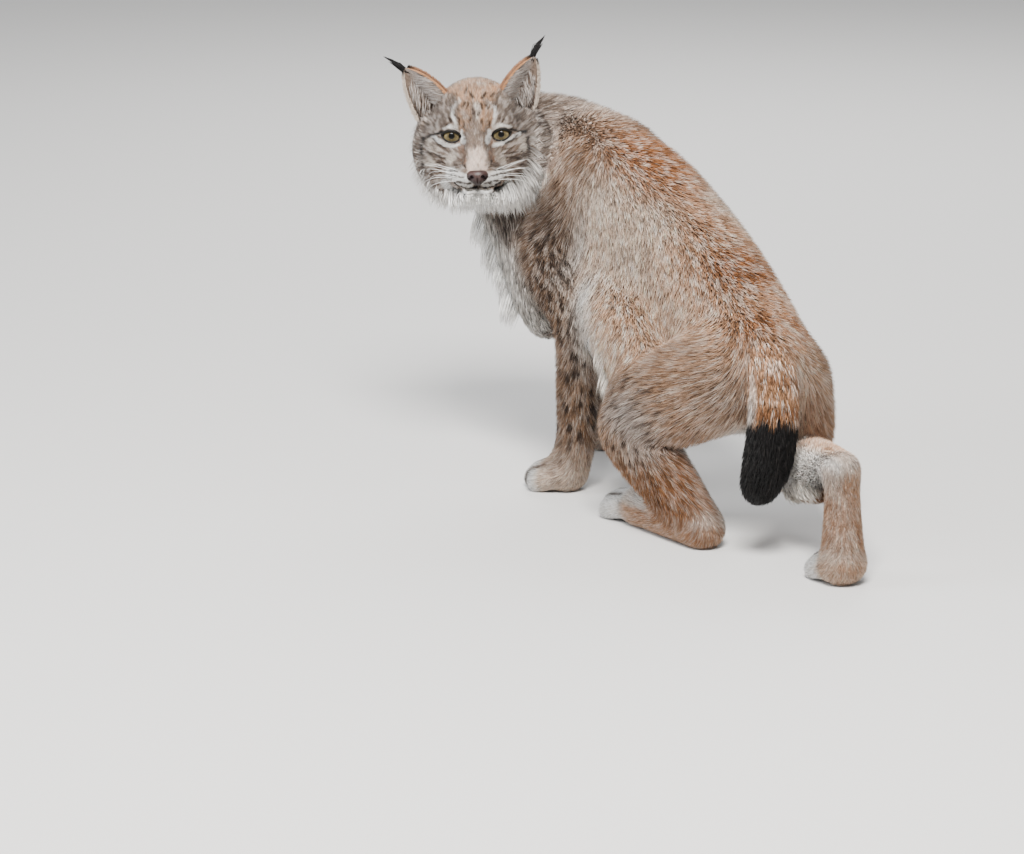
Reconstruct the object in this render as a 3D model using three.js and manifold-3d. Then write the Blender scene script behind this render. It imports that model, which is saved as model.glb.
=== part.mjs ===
// A life-size eurasian lynx, standing and looking back over its left shoulder.
// Millimetres. +X is the way the body heads, +Y the animal's left, +Z up, the floor at z = 0.
import * as THREE from "three";
import { mergeVertices } from "three/addons/utils/BufferGeometryUtils.js";
import Module from "manifold-3d";

const wasm = await Module();
wasm.setup();

const at = (x, y, z) => new THREE.Vector3(x, y, z);
const radians = THREE.MathUtils.degToRad;
const LEFT = at(0, 1, 0);
const UP = at(0, 0, 1);
const SIDES = { left: 1, right: -1 };

// Driving sizes
const GAP = 0.3;
const SKIN_GAP = 0.45;
const EYE_RADIUS = 14.5;
const EYE_SPACING = 66;
const EYES_AT = at(440.6, 170, 473.2);
const FACE_TURN = 150;
const FACE_LIFT = 12;
const FACE_TILT = 2;
const FLOOR_AT = 4;

// Stations of the body: centre x, y, z, half width and half depth, out to the tips of the coat
const TRUNK = [
  [-22, 10, 218, 62, 76],
  [28, 0, 236, 80, 88],
  [130, -14, 272, 86, 105],
  [225, -17, 314, 91, 111],
  [325, -7, 363, 92, 114],
  [400, 12, 390, 80, 107],
];
const NECK = [
  [400, 8, 398, 72, 94],
  [470, 18, 428, 66, 86],
  [520, 78, 453, 58, 64],
];
const THROAT = [
  [502, 104, 392, 38, 42],
  [468, 80, 334, 46, 48],
  [418, 74, 256, 46, 48],
  [396, 84, 226, 30, 34],
];
const FLANK = {
  left: [[118, 96, 186, 40, 48], [190, 76, 226, 50, 62], [270, 62, 256, 52, 64], [350, 40, 300, 50, 56]],
  right: [[50, -60, 180, 40, 48], [150, -60, 220, 44, 56], [250, -46, 260, 48, 60], [340, -30, 300, 50, 56]],
};
const FORELEG = {
  left: [[345, 40, 440, 34, 50], [395, 82, 322, 44, 56], [315, 86, 238, 37, 42],
    [308, 92, 150, 30, 33], [310, 93, 70, 28, 30], [324, 99, 30, 30, 29]],
  right: [[365, -30, 440, 34, 50], [425, -50, 335, 44, 56], [412, -52, 240, 37, 42],
    [444, -52, 150, 30, 33], [468, -50, 70, 28, 30], [480, -50, 30, 30, 29]],
};
const HINDLEG = {
  left: [[5, 55, 222, 54, 72], [70, 92, 184, 50, 68], [126, 122, 142, 42, 48],
    [78, 108, 94, 42, 46], [18, 90, 46, 30, 32], [2, 84, 29, 25, 27]],
  right: [[0, -44, 215, 50, 70], [8, -60, 150, 46, 62], [10, -62, 94, 42, 46],
    [-80, -34, 108, 40, 44], [-168, 2, 138, 28, 29], [-204, 14, 146, 23, 24]],
};
const INSTEP = {
  left: [[2, 86, 27, 29, 27], [70, 91, 29, 33, 29], [130, 94, 29, 35, 29]],
  right: [[-206, 14, 146, 22, 22], [-214, 18, 88, 25, 26], [-222, 22, 34, 31, 29]],
};
const PAWS = {
  forepaw_left: { ball: [322, 98, 28], toes: [354, 119, 22] },
  forepaw_right: { ball: [480, -50, 28], toes: [516, -48, 22] },
  hindpaw_left: { ball: [130, 93, 27], toes: [184, 97, 22] },
  hindpaw_right: { ball: [-222, 22, 28], toes: [-184, 14, 22] },
};
const TAIL = [
  [-24, 18, 262, 30, 30],
  [-64, 28, 240, 32, 32],
  [-88, 40, 190, 34, 34],
  [-94, 52, 134, 34, 34],
  [-88, 60, 102, 26, 26],
];
const TAIL_BLACK_BELOW = 162;

// Head frame: x to the animal's left, y up, z the way the face looks, zero between the eyes
const faceOut = at(Math.cos(radians(FACE_TURN)), Math.sin(radians(FACE_TURN)), Math.tan(radians(FACE_LIFT)))
  .normalize();
const faceLevel = UP.clone().cross(faceOut).normalize();
const faceLeft = faceLevel.applyAxisAngle(faceOut, radians(FACE_TILT));
const faceUp = faceOut.clone().cross(faceLeft);
const faceFrame = new THREE.Matrix4().makeBasis(faceLeft, faceUp, faceOut).setPosition(EYES_AT);
const onHead = (x, y, z) => at(x, y, z).applyMatrix4(faceFrame);

// Values between stations, on a smooth curve through all of them
function between(rows, t) {
  const i = Math.min(Math.floor(t), rows.length - 2);
  const f = t - i;
  const row = (n) => rows[Math.min(Math.max(n, 0), rows.length - 1)];
  return row(i).map((b, n) => {
    const a = row(i - 1)[n];
    const c = row(i + 1)[n];
    const d = row(i + 2)[n];
    return b + 0.5 * f * (c - a + f * (2 * a - 5 * b + 4 * c - d + f * (3 * (b - c) + d - a)));
  });
}

// One short tapered length with an elliptic section: its distance from any point
function segment(from, to, side) {
  const a = at(from[0], from[1], from[2]);
  const axis = at(to[0], to[1], to[2]).sub(a);
  const length = Math.max(axis.length(), 1e-6);
  axis.divideScalar(length);
  const across = side.clone().addScaledVector(axis, -side.dot(axis)).normalize();
  const over = axis.clone().cross(across);
  return (x, y, z) => {
    const px = x - a.x;
    const py = y - a.y;
    const pz = z - a.z;
    const along = px * axis.x + py * axis.y + pz * axis.z;
    const t = Math.min(Math.max(along / length, 0), 1);
    const past = along - t * length;
    const s = px * across.x + py * across.y + pz * across.z;
    const u = px * over.x + py * over.y + pz * over.z;
    const w = from[3] + (to[3] - from[3]) * t;
    const h = from[4] + (to[4] - from[4]) * t;
    const m = Math.min(w, h);
    const near = Math.hypot(s / w, u / h, past / m);
    const slope = Math.hypot(s / (w * w), u / (h * h), past / (m * m));
    return slope < 1e-9 ? -m : (near * (near - 1)) / slope;
  };
}

// A limb through its stations, in short lengths so that no ridge shows where they meet
function limb(rows, blend = 20, side = LEFT, steps = 4) {
  const count = (rows.length - 1) * steps;
  const stops = Array.from({ length: count + 1 }, (_, i) => between(rows, i / steps));
  const lengths = stops.slice(1).map((stop, i) => segment(stops[i], stop, side));
  const box = new THREE.Box3();
  for (const [x, y, z, w, h] of stops) {
    const r = Math.max(w, h);
    box.expandByPoint(at(x - r, y - r, z - r)).expandByPoint(at(x + r, y + r, z + r));
  }
  const distance = (x, y, z) => {
    let d = 1e3;
    for (const part of lengths) d = Math.min(d, part(x, y, z));
    return d;
  };
  return { distance, box, blend };
}

// A rounded lump with its radii along the head's axes
function lump(place, [rx, ry, rz], blend = 20) {
  const centre = onHead(...place);
  const r = Math.max(rx, ry, rz);
  const distance = (x, y, z) => {
    const p = at(x, y, z).sub(centre);
    const a = p.dot(faceLeft);
    const b = p.dot(faceUp);
    const c = p.dot(faceOut);
    const near = Math.hypot(a / rx, b / ry, c / rz);
    const slope = Math.hypot(a / (rx * rx), b / (ry * ry), c / (rz * rz));
    return slope < 1e-9 ? -Math.min(rx, ry, rz) : (near * (near - 1)) / slope;
  };
  const box = new THREE.Box3().setFromCenterAndSize(centre, at(2 * r, 2 * r, 2 * r));
  return { distance, box, blend };
}

function smoothUnion(a, b, k) {
  const h = Math.max(k - Math.abs(a - b), 0) / k;
  return Math.min(a, b) - (h * h * k) / 4;
}

// The distance to a whole body of parts, each melting into the ones before it
function fieldOf(parts) {
  return (x, y, z) => {
    let d = 200;
    for (const { box, blend, distance } of parts) {
      const dx = Math.max(box.min.x - x, x - box.max.x, 0);
      const dy = Math.max(box.min.y - y, y - box.max.y, 0);
      const dz = Math.max(box.min.z - z, z - box.max.z, 0);
      if (Math.hypot(dx, dy, dz) > d + blend) continue;
      d = smoothUnion(d, distance(x, y, z), blend);
    }
    return d;
  };
}

// Head, out to the coat's tips but for the ruff's locks
const both = (make) => [make(-1), make(1)];
const onFace = (rows) => rows.map(([x, y, z, w, h]) => [...onHead(x, y, z).toArray(), w, h]);
const head = [
  lump([0, 10, -58], [64, 70, 60]),
  lump([0, 30, -30], [46, 38, 36]),
  ...both((s) => lump([s * 30, 17, -14], [20, 9, 17], 14)),
  ...both((s) => lump([s * 42, -18, -34], [32, 32, 34])),
  ...both((s) => lump([s * 34, -48, -24], [34, 34, 36])),
  limb(onFace([[0, 8, -8, 18, 18], [0, -20, 20, 15, 15], [0, -44, 36, 15, 13]]), 14, faceLeft),
  limb(onFace([[0, -40, -20, 48, 36], [0, -53, 14, 35, 22]]), 18, faceLeft),
  ...both((s) => lump([s * 18, -56, 29], [20, 14, 19], 10)),
  lump([0, -79, 19], [18, 12, 17], 8),
  limb(onFace([[0, 6, -72, 58, 56], [26, -6, -104, 56, 56]]), 20, faceLeft),
  limb(onFace([[62, 18, -50, 18, 22], [78, -20, -38, 19, 24], [70, -54, -28, 17, 24], [42, -78, -18, 12, 18]]),
    16, faceOut),
  limb(onFace([[-58, 18, -54, 17, 22], [-65, -16, -44, 17, 24], [-54, -50, -34, 15, 24], [-33, -77, -20, 12, 18]]),
    16, faceOut),
];
const nose = [lump([0, -54, 46], [14.5, 9.5, 10], 4), lump([0, -62, 44], [6, 8, 9], 4)];

function paw({ ball, toes }) {
  const sole = at(...ball);
  const tip = at(...toes);
  const ahead = tip.clone().sub(sole).setZ(0).normalize();
  const across = UP.clone().cross(ahead);
  const spread = [-27, -9.5, 9.5, 27];
  const pad = limb([[...ball, 32, 27], [...toes, 31, 19]], 10, across);
  const toe = (offset, i) => {
    const set = i === 0 || i === 3 ? -9 : 4;
    const from = tip.clone().addScaledVector(across, offset * 0.9).addScaledVector(ahead, set - 14);
    const to = tip.clone().addScaledVector(across, offset).addScaledVector(ahead, set + 6).setZ(15);
    return limb([[...from.toArray(), 13, 15], [...to.toArray(), 12, 14]], 6, across, 2);
  };
  return [pad, ...spread.map(toe)];
}

const flesh = [
  limb(TRUNK, 30),
  limb(NECK, 40),
  limb(THROAT, 30),
  ...Object.keys(SIDES).flatMap((side) => [
    limb(FLANK[side], 40),
    limb(FORELEG[side], 24),
    limb(HINDLEG[side], 30),
    limb(INSTEP[side], 14),
  ]),
  ...Object.values(PAWS).flatMap(paw),
];
const body = fieldOf(flesh);
const face = fieldOf(head);

// The corners, edges and faces of one cell of the grid
const CORNERS = [0, 1, 2, 3, 4, 5, 6, 7].map((c) => [c & 1, (c >> 1) & 1, c >> 2]);
const EDGES = CORNERS.flatMap((_, a) => [1, 2, 4].filter((bit) => !(a & bit)).map((bit) => [a, a | bit]));
const FACES = [0, 1, 2].flatMap((axis) =>
  [0, 1].map((side) => [0, 1, 2, 3, 4, 5, 6, 7].filter((c) => CORNERS[c][axis] === side)));
const edgeOf = (a, b) => EDGES.findIndex(([p, q]) => p === Math.min(a, b) && q === Math.max(a, b));

// The edges that a face's two or four crossings join, kept apart at each inner corner
const links = FACES.map((face) =>
  face.map((corner) => {
    const beside = face.filter((c) => edgeOf(c, corner) >= 0);
    return { corner, pair: beside.map((c) => edgeOf(c, corner)), beside };
  }));
const faceEdges = FACES.map((face) =>
  EDGES.map((_, e) => e).filter((e) => face.includes(EDGES[e][0]) && face.includes(EDGES[e][1])));

// The crossed edges of a cell, in one group for each sheet of the surface that passes through it
function sheetsOf(inside, crossed) {
  const group = EDGES.map((_, e) => e);
  const join = (a, b) => {
    const [from, to] = [group[a], group[b]];
    group.forEach((g, e) => (group[e] = g === from ? to : g));
  };
  FACES.forEach((_, f) => {
    const cuts = faceEdges[f].filter((e) => crossed[e]);
    if (cuts.length === 2) join(...cuts);
    if (cuts.length === 4)
      for (const { corner, pair } of links[f]) if (inside[corner]) join(...pair);
  });
  return group;
}

// One closed surface of the field inside a box, by surface nets
function surfaceOf(field, box, cell, level = 0) {
  const size = box.getSize(new THREE.Vector3());
  const [nx, ny, nz] = [size.x, size.y, size.z].map((s) => Math.ceil(s / cell) + 1);
  const values = new Float32Array(nx * ny * nz);
  const index = (i, j, k) => (k * ny + j) * nx + i;
  for (let k = 0; k < nz; k++)
    for (let j = 0; j < ny; j++)
      for (let i = 0; i < nx; i++) {
        const edge = i === 0 || j === 0 || k === 0 || i === nx - 1 || j === ny - 1 || k === nz - 1;
        const v = field(box.min.x + i * cell, box.min.y + j * cell, box.min.z + k * cell) - level;
        values[index(i, j, k)] = edge ? Math.max(v, cell / 10) : v;
      }
  const positions = [];
  const verticesOf = new Map();
  for (let k = 0; k < nz - 1; k++)
    for (let j = 0; j < ny - 1; j++)
      for (let i = 0; i < nx - 1; i++) {
        const v = CORNERS.map(([a, b, c]) => values[index(i + a, j + b, k + c)]);
        const inside = v.map((value) => value < 0);
        const crossed = EDGES.map(([a, b]) => inside[a] !== inside[b]);
        if (!crossed.includes(true)) continue;
        const group = sheetsOf(inside, crossed);
        const vertices = {};
        for (const sheet of new Set(group.filter((_, e) => crossed[e]))) {
          const sum = at(0, 0, 0);
          const members = EDGES.filter((_, e) => crossed[e] && group[e] === sheet);
          for (const [a, b] of members)
            sum.add(at(...CORNERS[a]).lerp(at(...CORNERS[b]), v[a] / (v[a] - v[b])));
          vertices[sheet] = positions.length / 3;
          const place = sum.divideScalar(members.length).add(at(i, j, k)).multiplyScalar(cell).add(box.min);
          positions.push(place.x, place.y, place.z);
        }
        verticesOf.set(index(i, j, k), group.map((sheet) => vertices[sheet]));
      }
  const faces = [];
  const quad = (a, b, c, d, flip) =>
    flip ? faces.push(a, c, b, a, d, c) : faces.push(a, b, c, a, c, d);
  for (let k = 0; k < nz - 1; k++)
    for (let j = 0; j < ny - 1; j++)
      for (let i = 0; i < nx - 1; i++) {
        const here = values[index(i, j, k)] < 0;
        // The vertex, in the cell a, b, c steps back, of the sheet that crosses this corner's edge
        const near = (a, b, c, step) => {
          const corner = a | (b << 1) | (c << 2);
          return verticesOf.get(index(i - a, j - b, k - c))[edgeOf(corner, corner | step)];
        };
        if (j && k && here !== values[index(i + 1, j, k)] < 0)
          quad(near(0, 1, 1, 1), near(0, 0, 1, 1), near(0, 0, 0, 1), near(0, 1, 0, 1), !here);
        if (i && k && here !== values[index(i, j + 1, k)] < 0)
          quad(near(1, 0, 1, 2), near(1, 0, 0, 2), near(0, 0, 0, 2), near(0, 0, 1, 2), !here);
        if (i && j && here !== values[index(i, j, k + 1)] < 0)
          quad(near(1, 1, 0, 4), near(0, 1, 0, 4), near(0, 0, 0, 4), near(1, 0, 0, 4), !here);
      }
  return new THREE.BufferGeometry()
    .setAttribute("position", new THREE.Float32BufferAttribute(positions, 3))
    .setIndex(faces);
}

// Solids, joined and cut
function solidOf(geometry) {
  const bare = mergeVertices(new THREE.BufferGeometry()
    .setAttribute("position", geometry.getAttribute("position"))
    .setIndex(geometry.index), 1e-3);
  return new wasm.Manifold(new wasm.Mesh({
    numProp: 3,
    vertProperties: bare.getAttribute("position").array,
    triVerts: new Uint32Array(bare.index.array),
  }));
}

function geometryOf(solid) {
  const { vertProperties, triVerts } = solid.getMesh();
  return new THREE.BufferGeometry()
    .setAttribute("position", new THREE.Float32BufferAttribute(vertProperties, 3))
    .setIndex(new THREE.Uint32BufferAttribute(triVerts, 1));
}

const largest = (solid) => solid.decompose().reduce((a, b) => (a.volume() > b.volume() ? a : b));

// The outer surface of a solid, without crumbs or sealed pockets
function oneSurface(solid) {
  let geometry = geometryOf(solid);
  for (let welded = solidOf(geometry); welded.decompose().length > 1; welded = solidOf(geometry))
    geometry = geometryOf(largest(welded));
  return geometry;
}
const surfaceIn = (field, low, high, cell, level = 0) =>
  solidOf(surfaceOf(field, new THREE.Box3(at(...low), at(...high)), cell, level));

// All that lies beyond a plane, on the side that its normal points to
const HUGE = 3000;
function beyond(point, normal, back = 0) {
  const ahead = at(...normal).normalize();
  const turn = new THREE.Quaternion().setFromUnitVectors(UP, ahead);
  const centre = at(...point).addScaledVector(ahead, HUGE / 2 - back);
  const block = new THREE.BoxGeometry(HUGE, HUGE, HUGE).applyQuaternion(turn);
  return solidOf(block.translate(...centre.toArray()));
}
const within = (planes, back = 0) =>
  planes.map(([point, normal]) => beyond(point, normal, back)).reduce((a, b) => a.intersect(b));

// Where each region starts: a point of its face and the way into it
const REGIONS = {
  neck: [[[442, 20, 400], [0.9, 0.3, 0.25]], [[430, 60, 330], [0.5, 0.35, 0.8]]],
  foreleg_left: [[[300, 0, 290], [0.25, -0.35, -1]], [[0, 52, 0], [0, 1, 0]], [[272, 0, 0], [1, 0, 0.1]],
    [[392, 0, 200], [-1, 0, -0.1]]],
  foreleg_right: [[[380, 0, 300], [0.2, 0.35, -1]], [[0, -24, 0], [0, -1, 0]], [[340, 0, 0], [1, 0, 0]]],
  thigh_left: [[[0, 46, 200], [0, 1, -0.3]], [[196, 0, 200], [-1, 0, 0.35]], [[126, 122, 134], [-0.06, 0, 1]],
    [[120, 80, 292], [0.12, 0.1, -1]]],
  thigh_right: [[[0, -46, 190], [0, -1, -0.25]], [[88, 0, 170], [-1, 0, 0.3]], [[4, -60, 100], [0.5, -0.15, 0.8]],
    [[60, -80, 276], [0.3, -0.1, -1]]],
};
REGIONS.forepaw_left = [[[0, 0, 60], [0, 0, -1]], [[0, 44, 0], [0, 1, 0]], [[262, 0, 0], [1, 0, 0]]];
REGIONS.forepaw_right = [[[0, 0, 60], [0, 0, -1]], [[0, 10, 0], [0, -1, 0]], [[352, 0, 0], [1, 0, 0]]];
REGIONS.shank_left = [[[126, 122, 134], [0.06, 0, -1]], [[0, 30, 0], [0, 1, 0]], [[240, 0, 0], [-1, 0, 0]]];
REGIONS.hindpaw_left = [[[0, 0, 60], [0, 0, -1]], [[0, 40, 0], [0, 1, 0]], [[250, 0, 0], [-1, 0, 0]]];
REGIONS.shank_right = [[[4, -60, 100], [-0.5, 0.15, -0.8]], [[0, 0, 176], [0, 0, -1]]];
REGIONS.hindpaw_right = [[[0, 0, 112], [0, 0, -1]], [[-150, 0, 0], [-1, 0, 0]]];

const coats = {
  rufous: { color: 0xa8815c, roughness: 0.85 },
  grey: { color: 0x9a8c7c, roughness: 0.85 },
  pale: { color: 0xd9d4cb, roughness: 0.85 },
  black: { color: 0x14110f, roughness: 0.8 },
  nose: { color: 0x6f4a42, roughness: 0.5 },
  eye: { color: 0x8a7a3c, roughness: 0.1 },
};
const nodes = {};
const make = (name, coat, solid) => {
  nodes[name] = { coat, solid: largest(solid) };
};

const onFloor = (solid) => solid.intersect(beyond([0, 0, FLOOR_AT], [0, 0, 1]));

// A closed tapered lock: flat across, bending from its first way to its last
const RINGS = [[0, 0.85], [0.4, 1], [0.75, 0.6]];
function lock({ root, ways, flat, length, width, thick }) {
  const [first, last] = ways.map((way) => way.clone().normalize());
  const along = (u) =>
    root.clone()
      .addScaledVector(first, length * (u - u * u / 2))
      .addScaledVector(last, length * u * u / 2);
  const points = [];
  const faces = [];
  for (const [u, share] of RINGS) {
    const way = first.clone().lerp(last, u).normalize();
    const over = flat.clone().addScaledVector(way, -flat.dot(way)).normalize();
    const across = over.clone().cross(way);
    for (const [a, o] of [[1, 0], [0, 1], [-1, 0], [0, -1]])
      points.push(along(u).addScaledVector(across, (a * share * width) / 2)
        .addScaledVector(over, (o * share * thick) / 2));
  }
  for (let r = 0; r < RINGS.length - 1; r++)
    for (let c = 0; c < 4; c++) {
      const [p, q] = [4 * r + c, 4 * r + ((c + 1) % 4)];
      faces.push(p, q, q + 4, p, q + 4, p + 4);
    }
  const tip = points.push(along(1)) - 1;
  const top = 4 * (RINGS.length - 1);
  for (let c = 0; c < 4; c++) faces.push(top + c, top + ((c + 1) % 4), tip);
  faces.push(0, 2, 1, 0, 3, 2);
  return solidOf(new THREE.BufferGeometry().setFromPoints(points).setIndex(faces));
}

// Head, with its ruff in front of the neck and a flat back where it meets the neck
const HEAD_BOX = [[290, -40, 330], [600, 320, 600]];
const HEAD_CELL = 11.4;
const HEAD_BACK = -86;
const HEAD_GAP = 0.9;
const lookingOut = faceOut.toArray();
const backOfHead = (offset) => beyond(onHead(0, 0, HEAD_BACK).toArray(), lookingOut, offset);
const BODY_BOX = [[-120, -160, 80], [540, 180, 550]];
const BODY_CELL = 27;
const NECK_BOX = [[380, -90, 250], [620, 200, 560]];
const NECK_CELL = 21;
const bodyAndGap = surfaceIn(body, ...BODY_BOX, BODY_CELL, SKIN_GAP);
const neckAndGap = surfaceIn(body, ...NECK_BOX, NECK_CELL, SKIN_GAP);
const skull = surfaceIn(face, ...HEAD_BOX, HEAD_CELL).intersect(backOfHead(0));
const skullAndGap = surfaceIn(face, ...HEAD_BOX, HEAD_CELL, HEAD_GAP).intersect(backOfHead(GAP));

// Eyes, each in lids that leave an almond open
const EYE_DEPTH = -12;
const LID = 3.6;
const OPENING = { half: 13, upper: 8.5, lower: 7.5, tilt: 8 };
const ball = (centre, radius, columns = 14) =>
  solidOf(new THREE.SphereGeometry(radius, columns, Math.round(columns * 0.7)).translate(...centre.toArray()));

function almond(side) {
  const { half, upper, lower, tilt } = OPENING;
  const shape = new THREE.Shape()
    .moveTo(-half, 0)
    .quadraticCurveTo(0, upper * 2, half, 0)
    .quadraticCurveTo(0, -lower * 2, -half, 0);
  const prism = new THREE.ExtrudeGeometry(shape, { depth: 30, bevelEnabled: false, curveSegments: 4 });
  const place = new THREE.Matrix4().makeRotationZ(radians(side * tilt));
  place.setPosition((side * EYE_SPACING) / 2, 0, EYE_DEPTH + 4);
  return solidOf(prism.applyMatrix4(place).applyMatrix4(faceFrame));
}

// The ruff: roots inside the cheeks' edge, x, y, z, the way out and the length, from ear to chin
const RUFF = [
  [52, 14, -60, 0.95, 0.05, -0.2, 40],
  [54, -14, -54, 0.95, -0.35, -0.1, 52],
  [50, -40, -42, 0.8, -0.6, 0.05, 58],
  [38, -62, -28, 0.5, -0.95, 0.2, 56],
  [22, -74, -12, 0.15, -1, 0.3, 40],
];
const RUFF_END = 3.9;
const SHORT_LOCK = 0.92;
const RUFF_LAYERS = [
  { count: 7, from: 0.1, ahead: 0, share: 1, width: 21 },
  { count: 6, from: 1.1, ahead: 13, share: 0.78, width: 17 },
];
const RUFF_SIDES = {
  left: { wide: 1.14, ahead: 14, share: 1.08, less: 0.05 },
  right: { wide: 1, ahead: 0, share: 1, less: 0.1 },
};
const headWay = (x, y, z) => onHead(x, y, z).sub(EYES_AT);
const ruffLocks = Object.entries(SIDES).flatMap(([name, side]) =>
  RUFF_LAYERS.flatMap(({ count, from, ahead, share, width }) =>
    Array.from({ length: count }, (_, i) => {
      const t = from + (RUFF_END - from) * (i / (count - 1));
      const [x, y, z, wx, wy, wz, length] = between(RUFF, t);
      const set = RUFF_SIDES[name];
      const first = headWay(side * wx, wy, wz);
      return lock({
        root: onHead(side * x * set.wide, y, z + ahead + set.ahead),
        ways: [first, first.clone().add(headWay(side * -0.1, -0.7, 0.1))],
        flat: headWay(-0.3 * side * wx, 0.1 + 0.06 * (i % 2), 1),
        length: length * share * (set.share - set.less * t) * (i % 2 ? SHORT_LOCK : 1),
        width, thick: 8,
      });
    })));

const ruff = ruffLocks.reduce((a, b) => a.add(b)).subtract(bodyAndGap).subtract(neckAndGap);
let headSolid = skull.add(ruff);
for (const side of Object.values(SIDES)) {
  const centre = onHead((side * EYE_SPACING) / 2, 0, EYE_DEPTH);
  headSolid = headSolid.add(ball(centre, EYE_RADIUS + LID, 14));
  headSolid = headSolid.subtract(almond(side)).subtract(ball(centre, EYE_RADIUS + GAP));
}

// Lips that meet in a seam, from one corner of the mouth to the other
const MOUTH = [[-31, -62], [-22, -69], [-13, -73.5], [0, -71.5], [13, -73.5], [22, -69], [31, -62]];
const MOUTH_STEPS = 9;
const LIP = { radius: 2.9, apart: 3, sunk: -1.3 };
const SEAM_RADIUS = 1.7;
const FACE_FRONT = 80;
const faceAt = (x, y, over) => {
  let z = FACE_FRONT;
  while (z > 0 && face(...onHead(x, y, z).toArray()) > 0) z -= 0.5;
  return onHead(x, y, z + over);
};
const alongMouth = (drop, over) =>
  Array.from({ length: MOUTH_STEPS }, (_, i) => {
    const [x, y] = between(MOUTH, ((MOUTH.length - 1) * i) / (MOUTH_STEPS - 1));
    return faceAt(x, y - drop, over);
  });

// A closed bar through places, running to a point at both ends
function taperedBar(places, radius, sides = 4) {
  const points = [places[0]];
  const faces = [];
  const id = (ring, c) => 1 + ring * sides + (c % sides);
  for (let i = 1; i < places.length - 1; i++) {
    const way = places[i + 1].clone().sub(places[i - 1]).normalize();
    const across = way.clone().cross(faceOut).normalize();
    const over = across.clone().cross(way);
    for (let c = 0; c < sides; c++) {
      const turn = (2 * Math.PI * c) / sides;
      points.push(places[i].clone().addScaledVector(across, radius * Math.cos(turn))
        .addScaledVector(over, radius * Math.sin(turn)));
    }
  }
  const tip = points.push(places.at(-1)) - 1;
  const last = places.length - 3;
  for (let c = 0; c < sides; c++) {
    faces.push(0, id(0, c), id(0, c + 1));
    faces.push(tip, id(last, c + 1), id(last, c));
    for (let ring = 0; ring < last; ring++)
      faces.push(id(ring, c), id(ring + 1, c), id(ring + 1, c + 1),
        id(ring, c), id(ring + 1, c + 1), id(ring, c + 1));
  }
  return solidOf(new THREE.BufferGeometry().setFromPoints(points).setIndex(faces));
}
for (const drop of [-LIP.apart, LIP.apart])
  headSolid = headSolid.add(taperedBar(alongMouth(drop, LIP.sunk), LIP.radius));
headSolid = headSolid.subtract(taperedBar(alongMouth(0, 0.5), SEAM_RADIUS));

// Nose pad, let into the muzzle, with two nostrils
const NOSE_BOX = [[340, 150, 370], [470, 270, 480]];
const noseField = fieldOf(nose);
const NOSE_CELL = 4.8;
const NOSTRIL = { place: [6.6, -56, 53.5], radius: 3 };
let nosePad = surfaceIn(noseField, ...NOSE_BOX, NOSE_CELL);
for (const side of Object.values(SIDES)) {
  const [x, y, z] = NOSTRIL.place;
  nosePad = nosePad.subtract(ball(onHead(side * x, y, z), NOSTRIL.radius, 7));
}
headSolid = headSolid.subtract(surfaceIn(noseField, ...NOSE_BOX, NOSE_CELL, SKIN_GAP));

// Ears: a cup of thin sheet, open to the front, its base sunk to the skull, with a tuft at its tip
const EAR = {
  half: 31, deep: 22, sheet: 3, turn: 74, sunk: -0.3, cupTop: 0.86, sheetTop: 0.98,
  taper: 0.72, bulge: 0.5, flattening: 0.6, forward: 8, turnedOut: 0.45, thinnest: 0.7,
};
const BRUSH = {
  from: 0.83, step: -0.02, ahead: 4.2, aheadStep: -1.3, aside: 9, curl: 0.3, width: 7, thick: 4.4, thinner: -0.5,
  locks: [{ lean: 0, length: 44 }, { lean: -0.12, length: 38 }, { lean: 0.14, length: 36 }],
};
const EAR_SET = {
  left: { base: [54, 43, -42], tip: [78, 103, -54], brush: [0.36, 0.93, 0] },
  right: { base: [56, 40, -42], tip: [90, 94, -54], brush: [0.76, 0.65, 0] },
};
const earBase = (name) => {
  const [x, y, z] = EAR_SET[name].base;
  return onHead(SIDES[name] * x, y, z);
};
const EAR_ROOM = 40;
const EAR_ROWS = 7;
const EAR_COLUMNS = 8;
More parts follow.
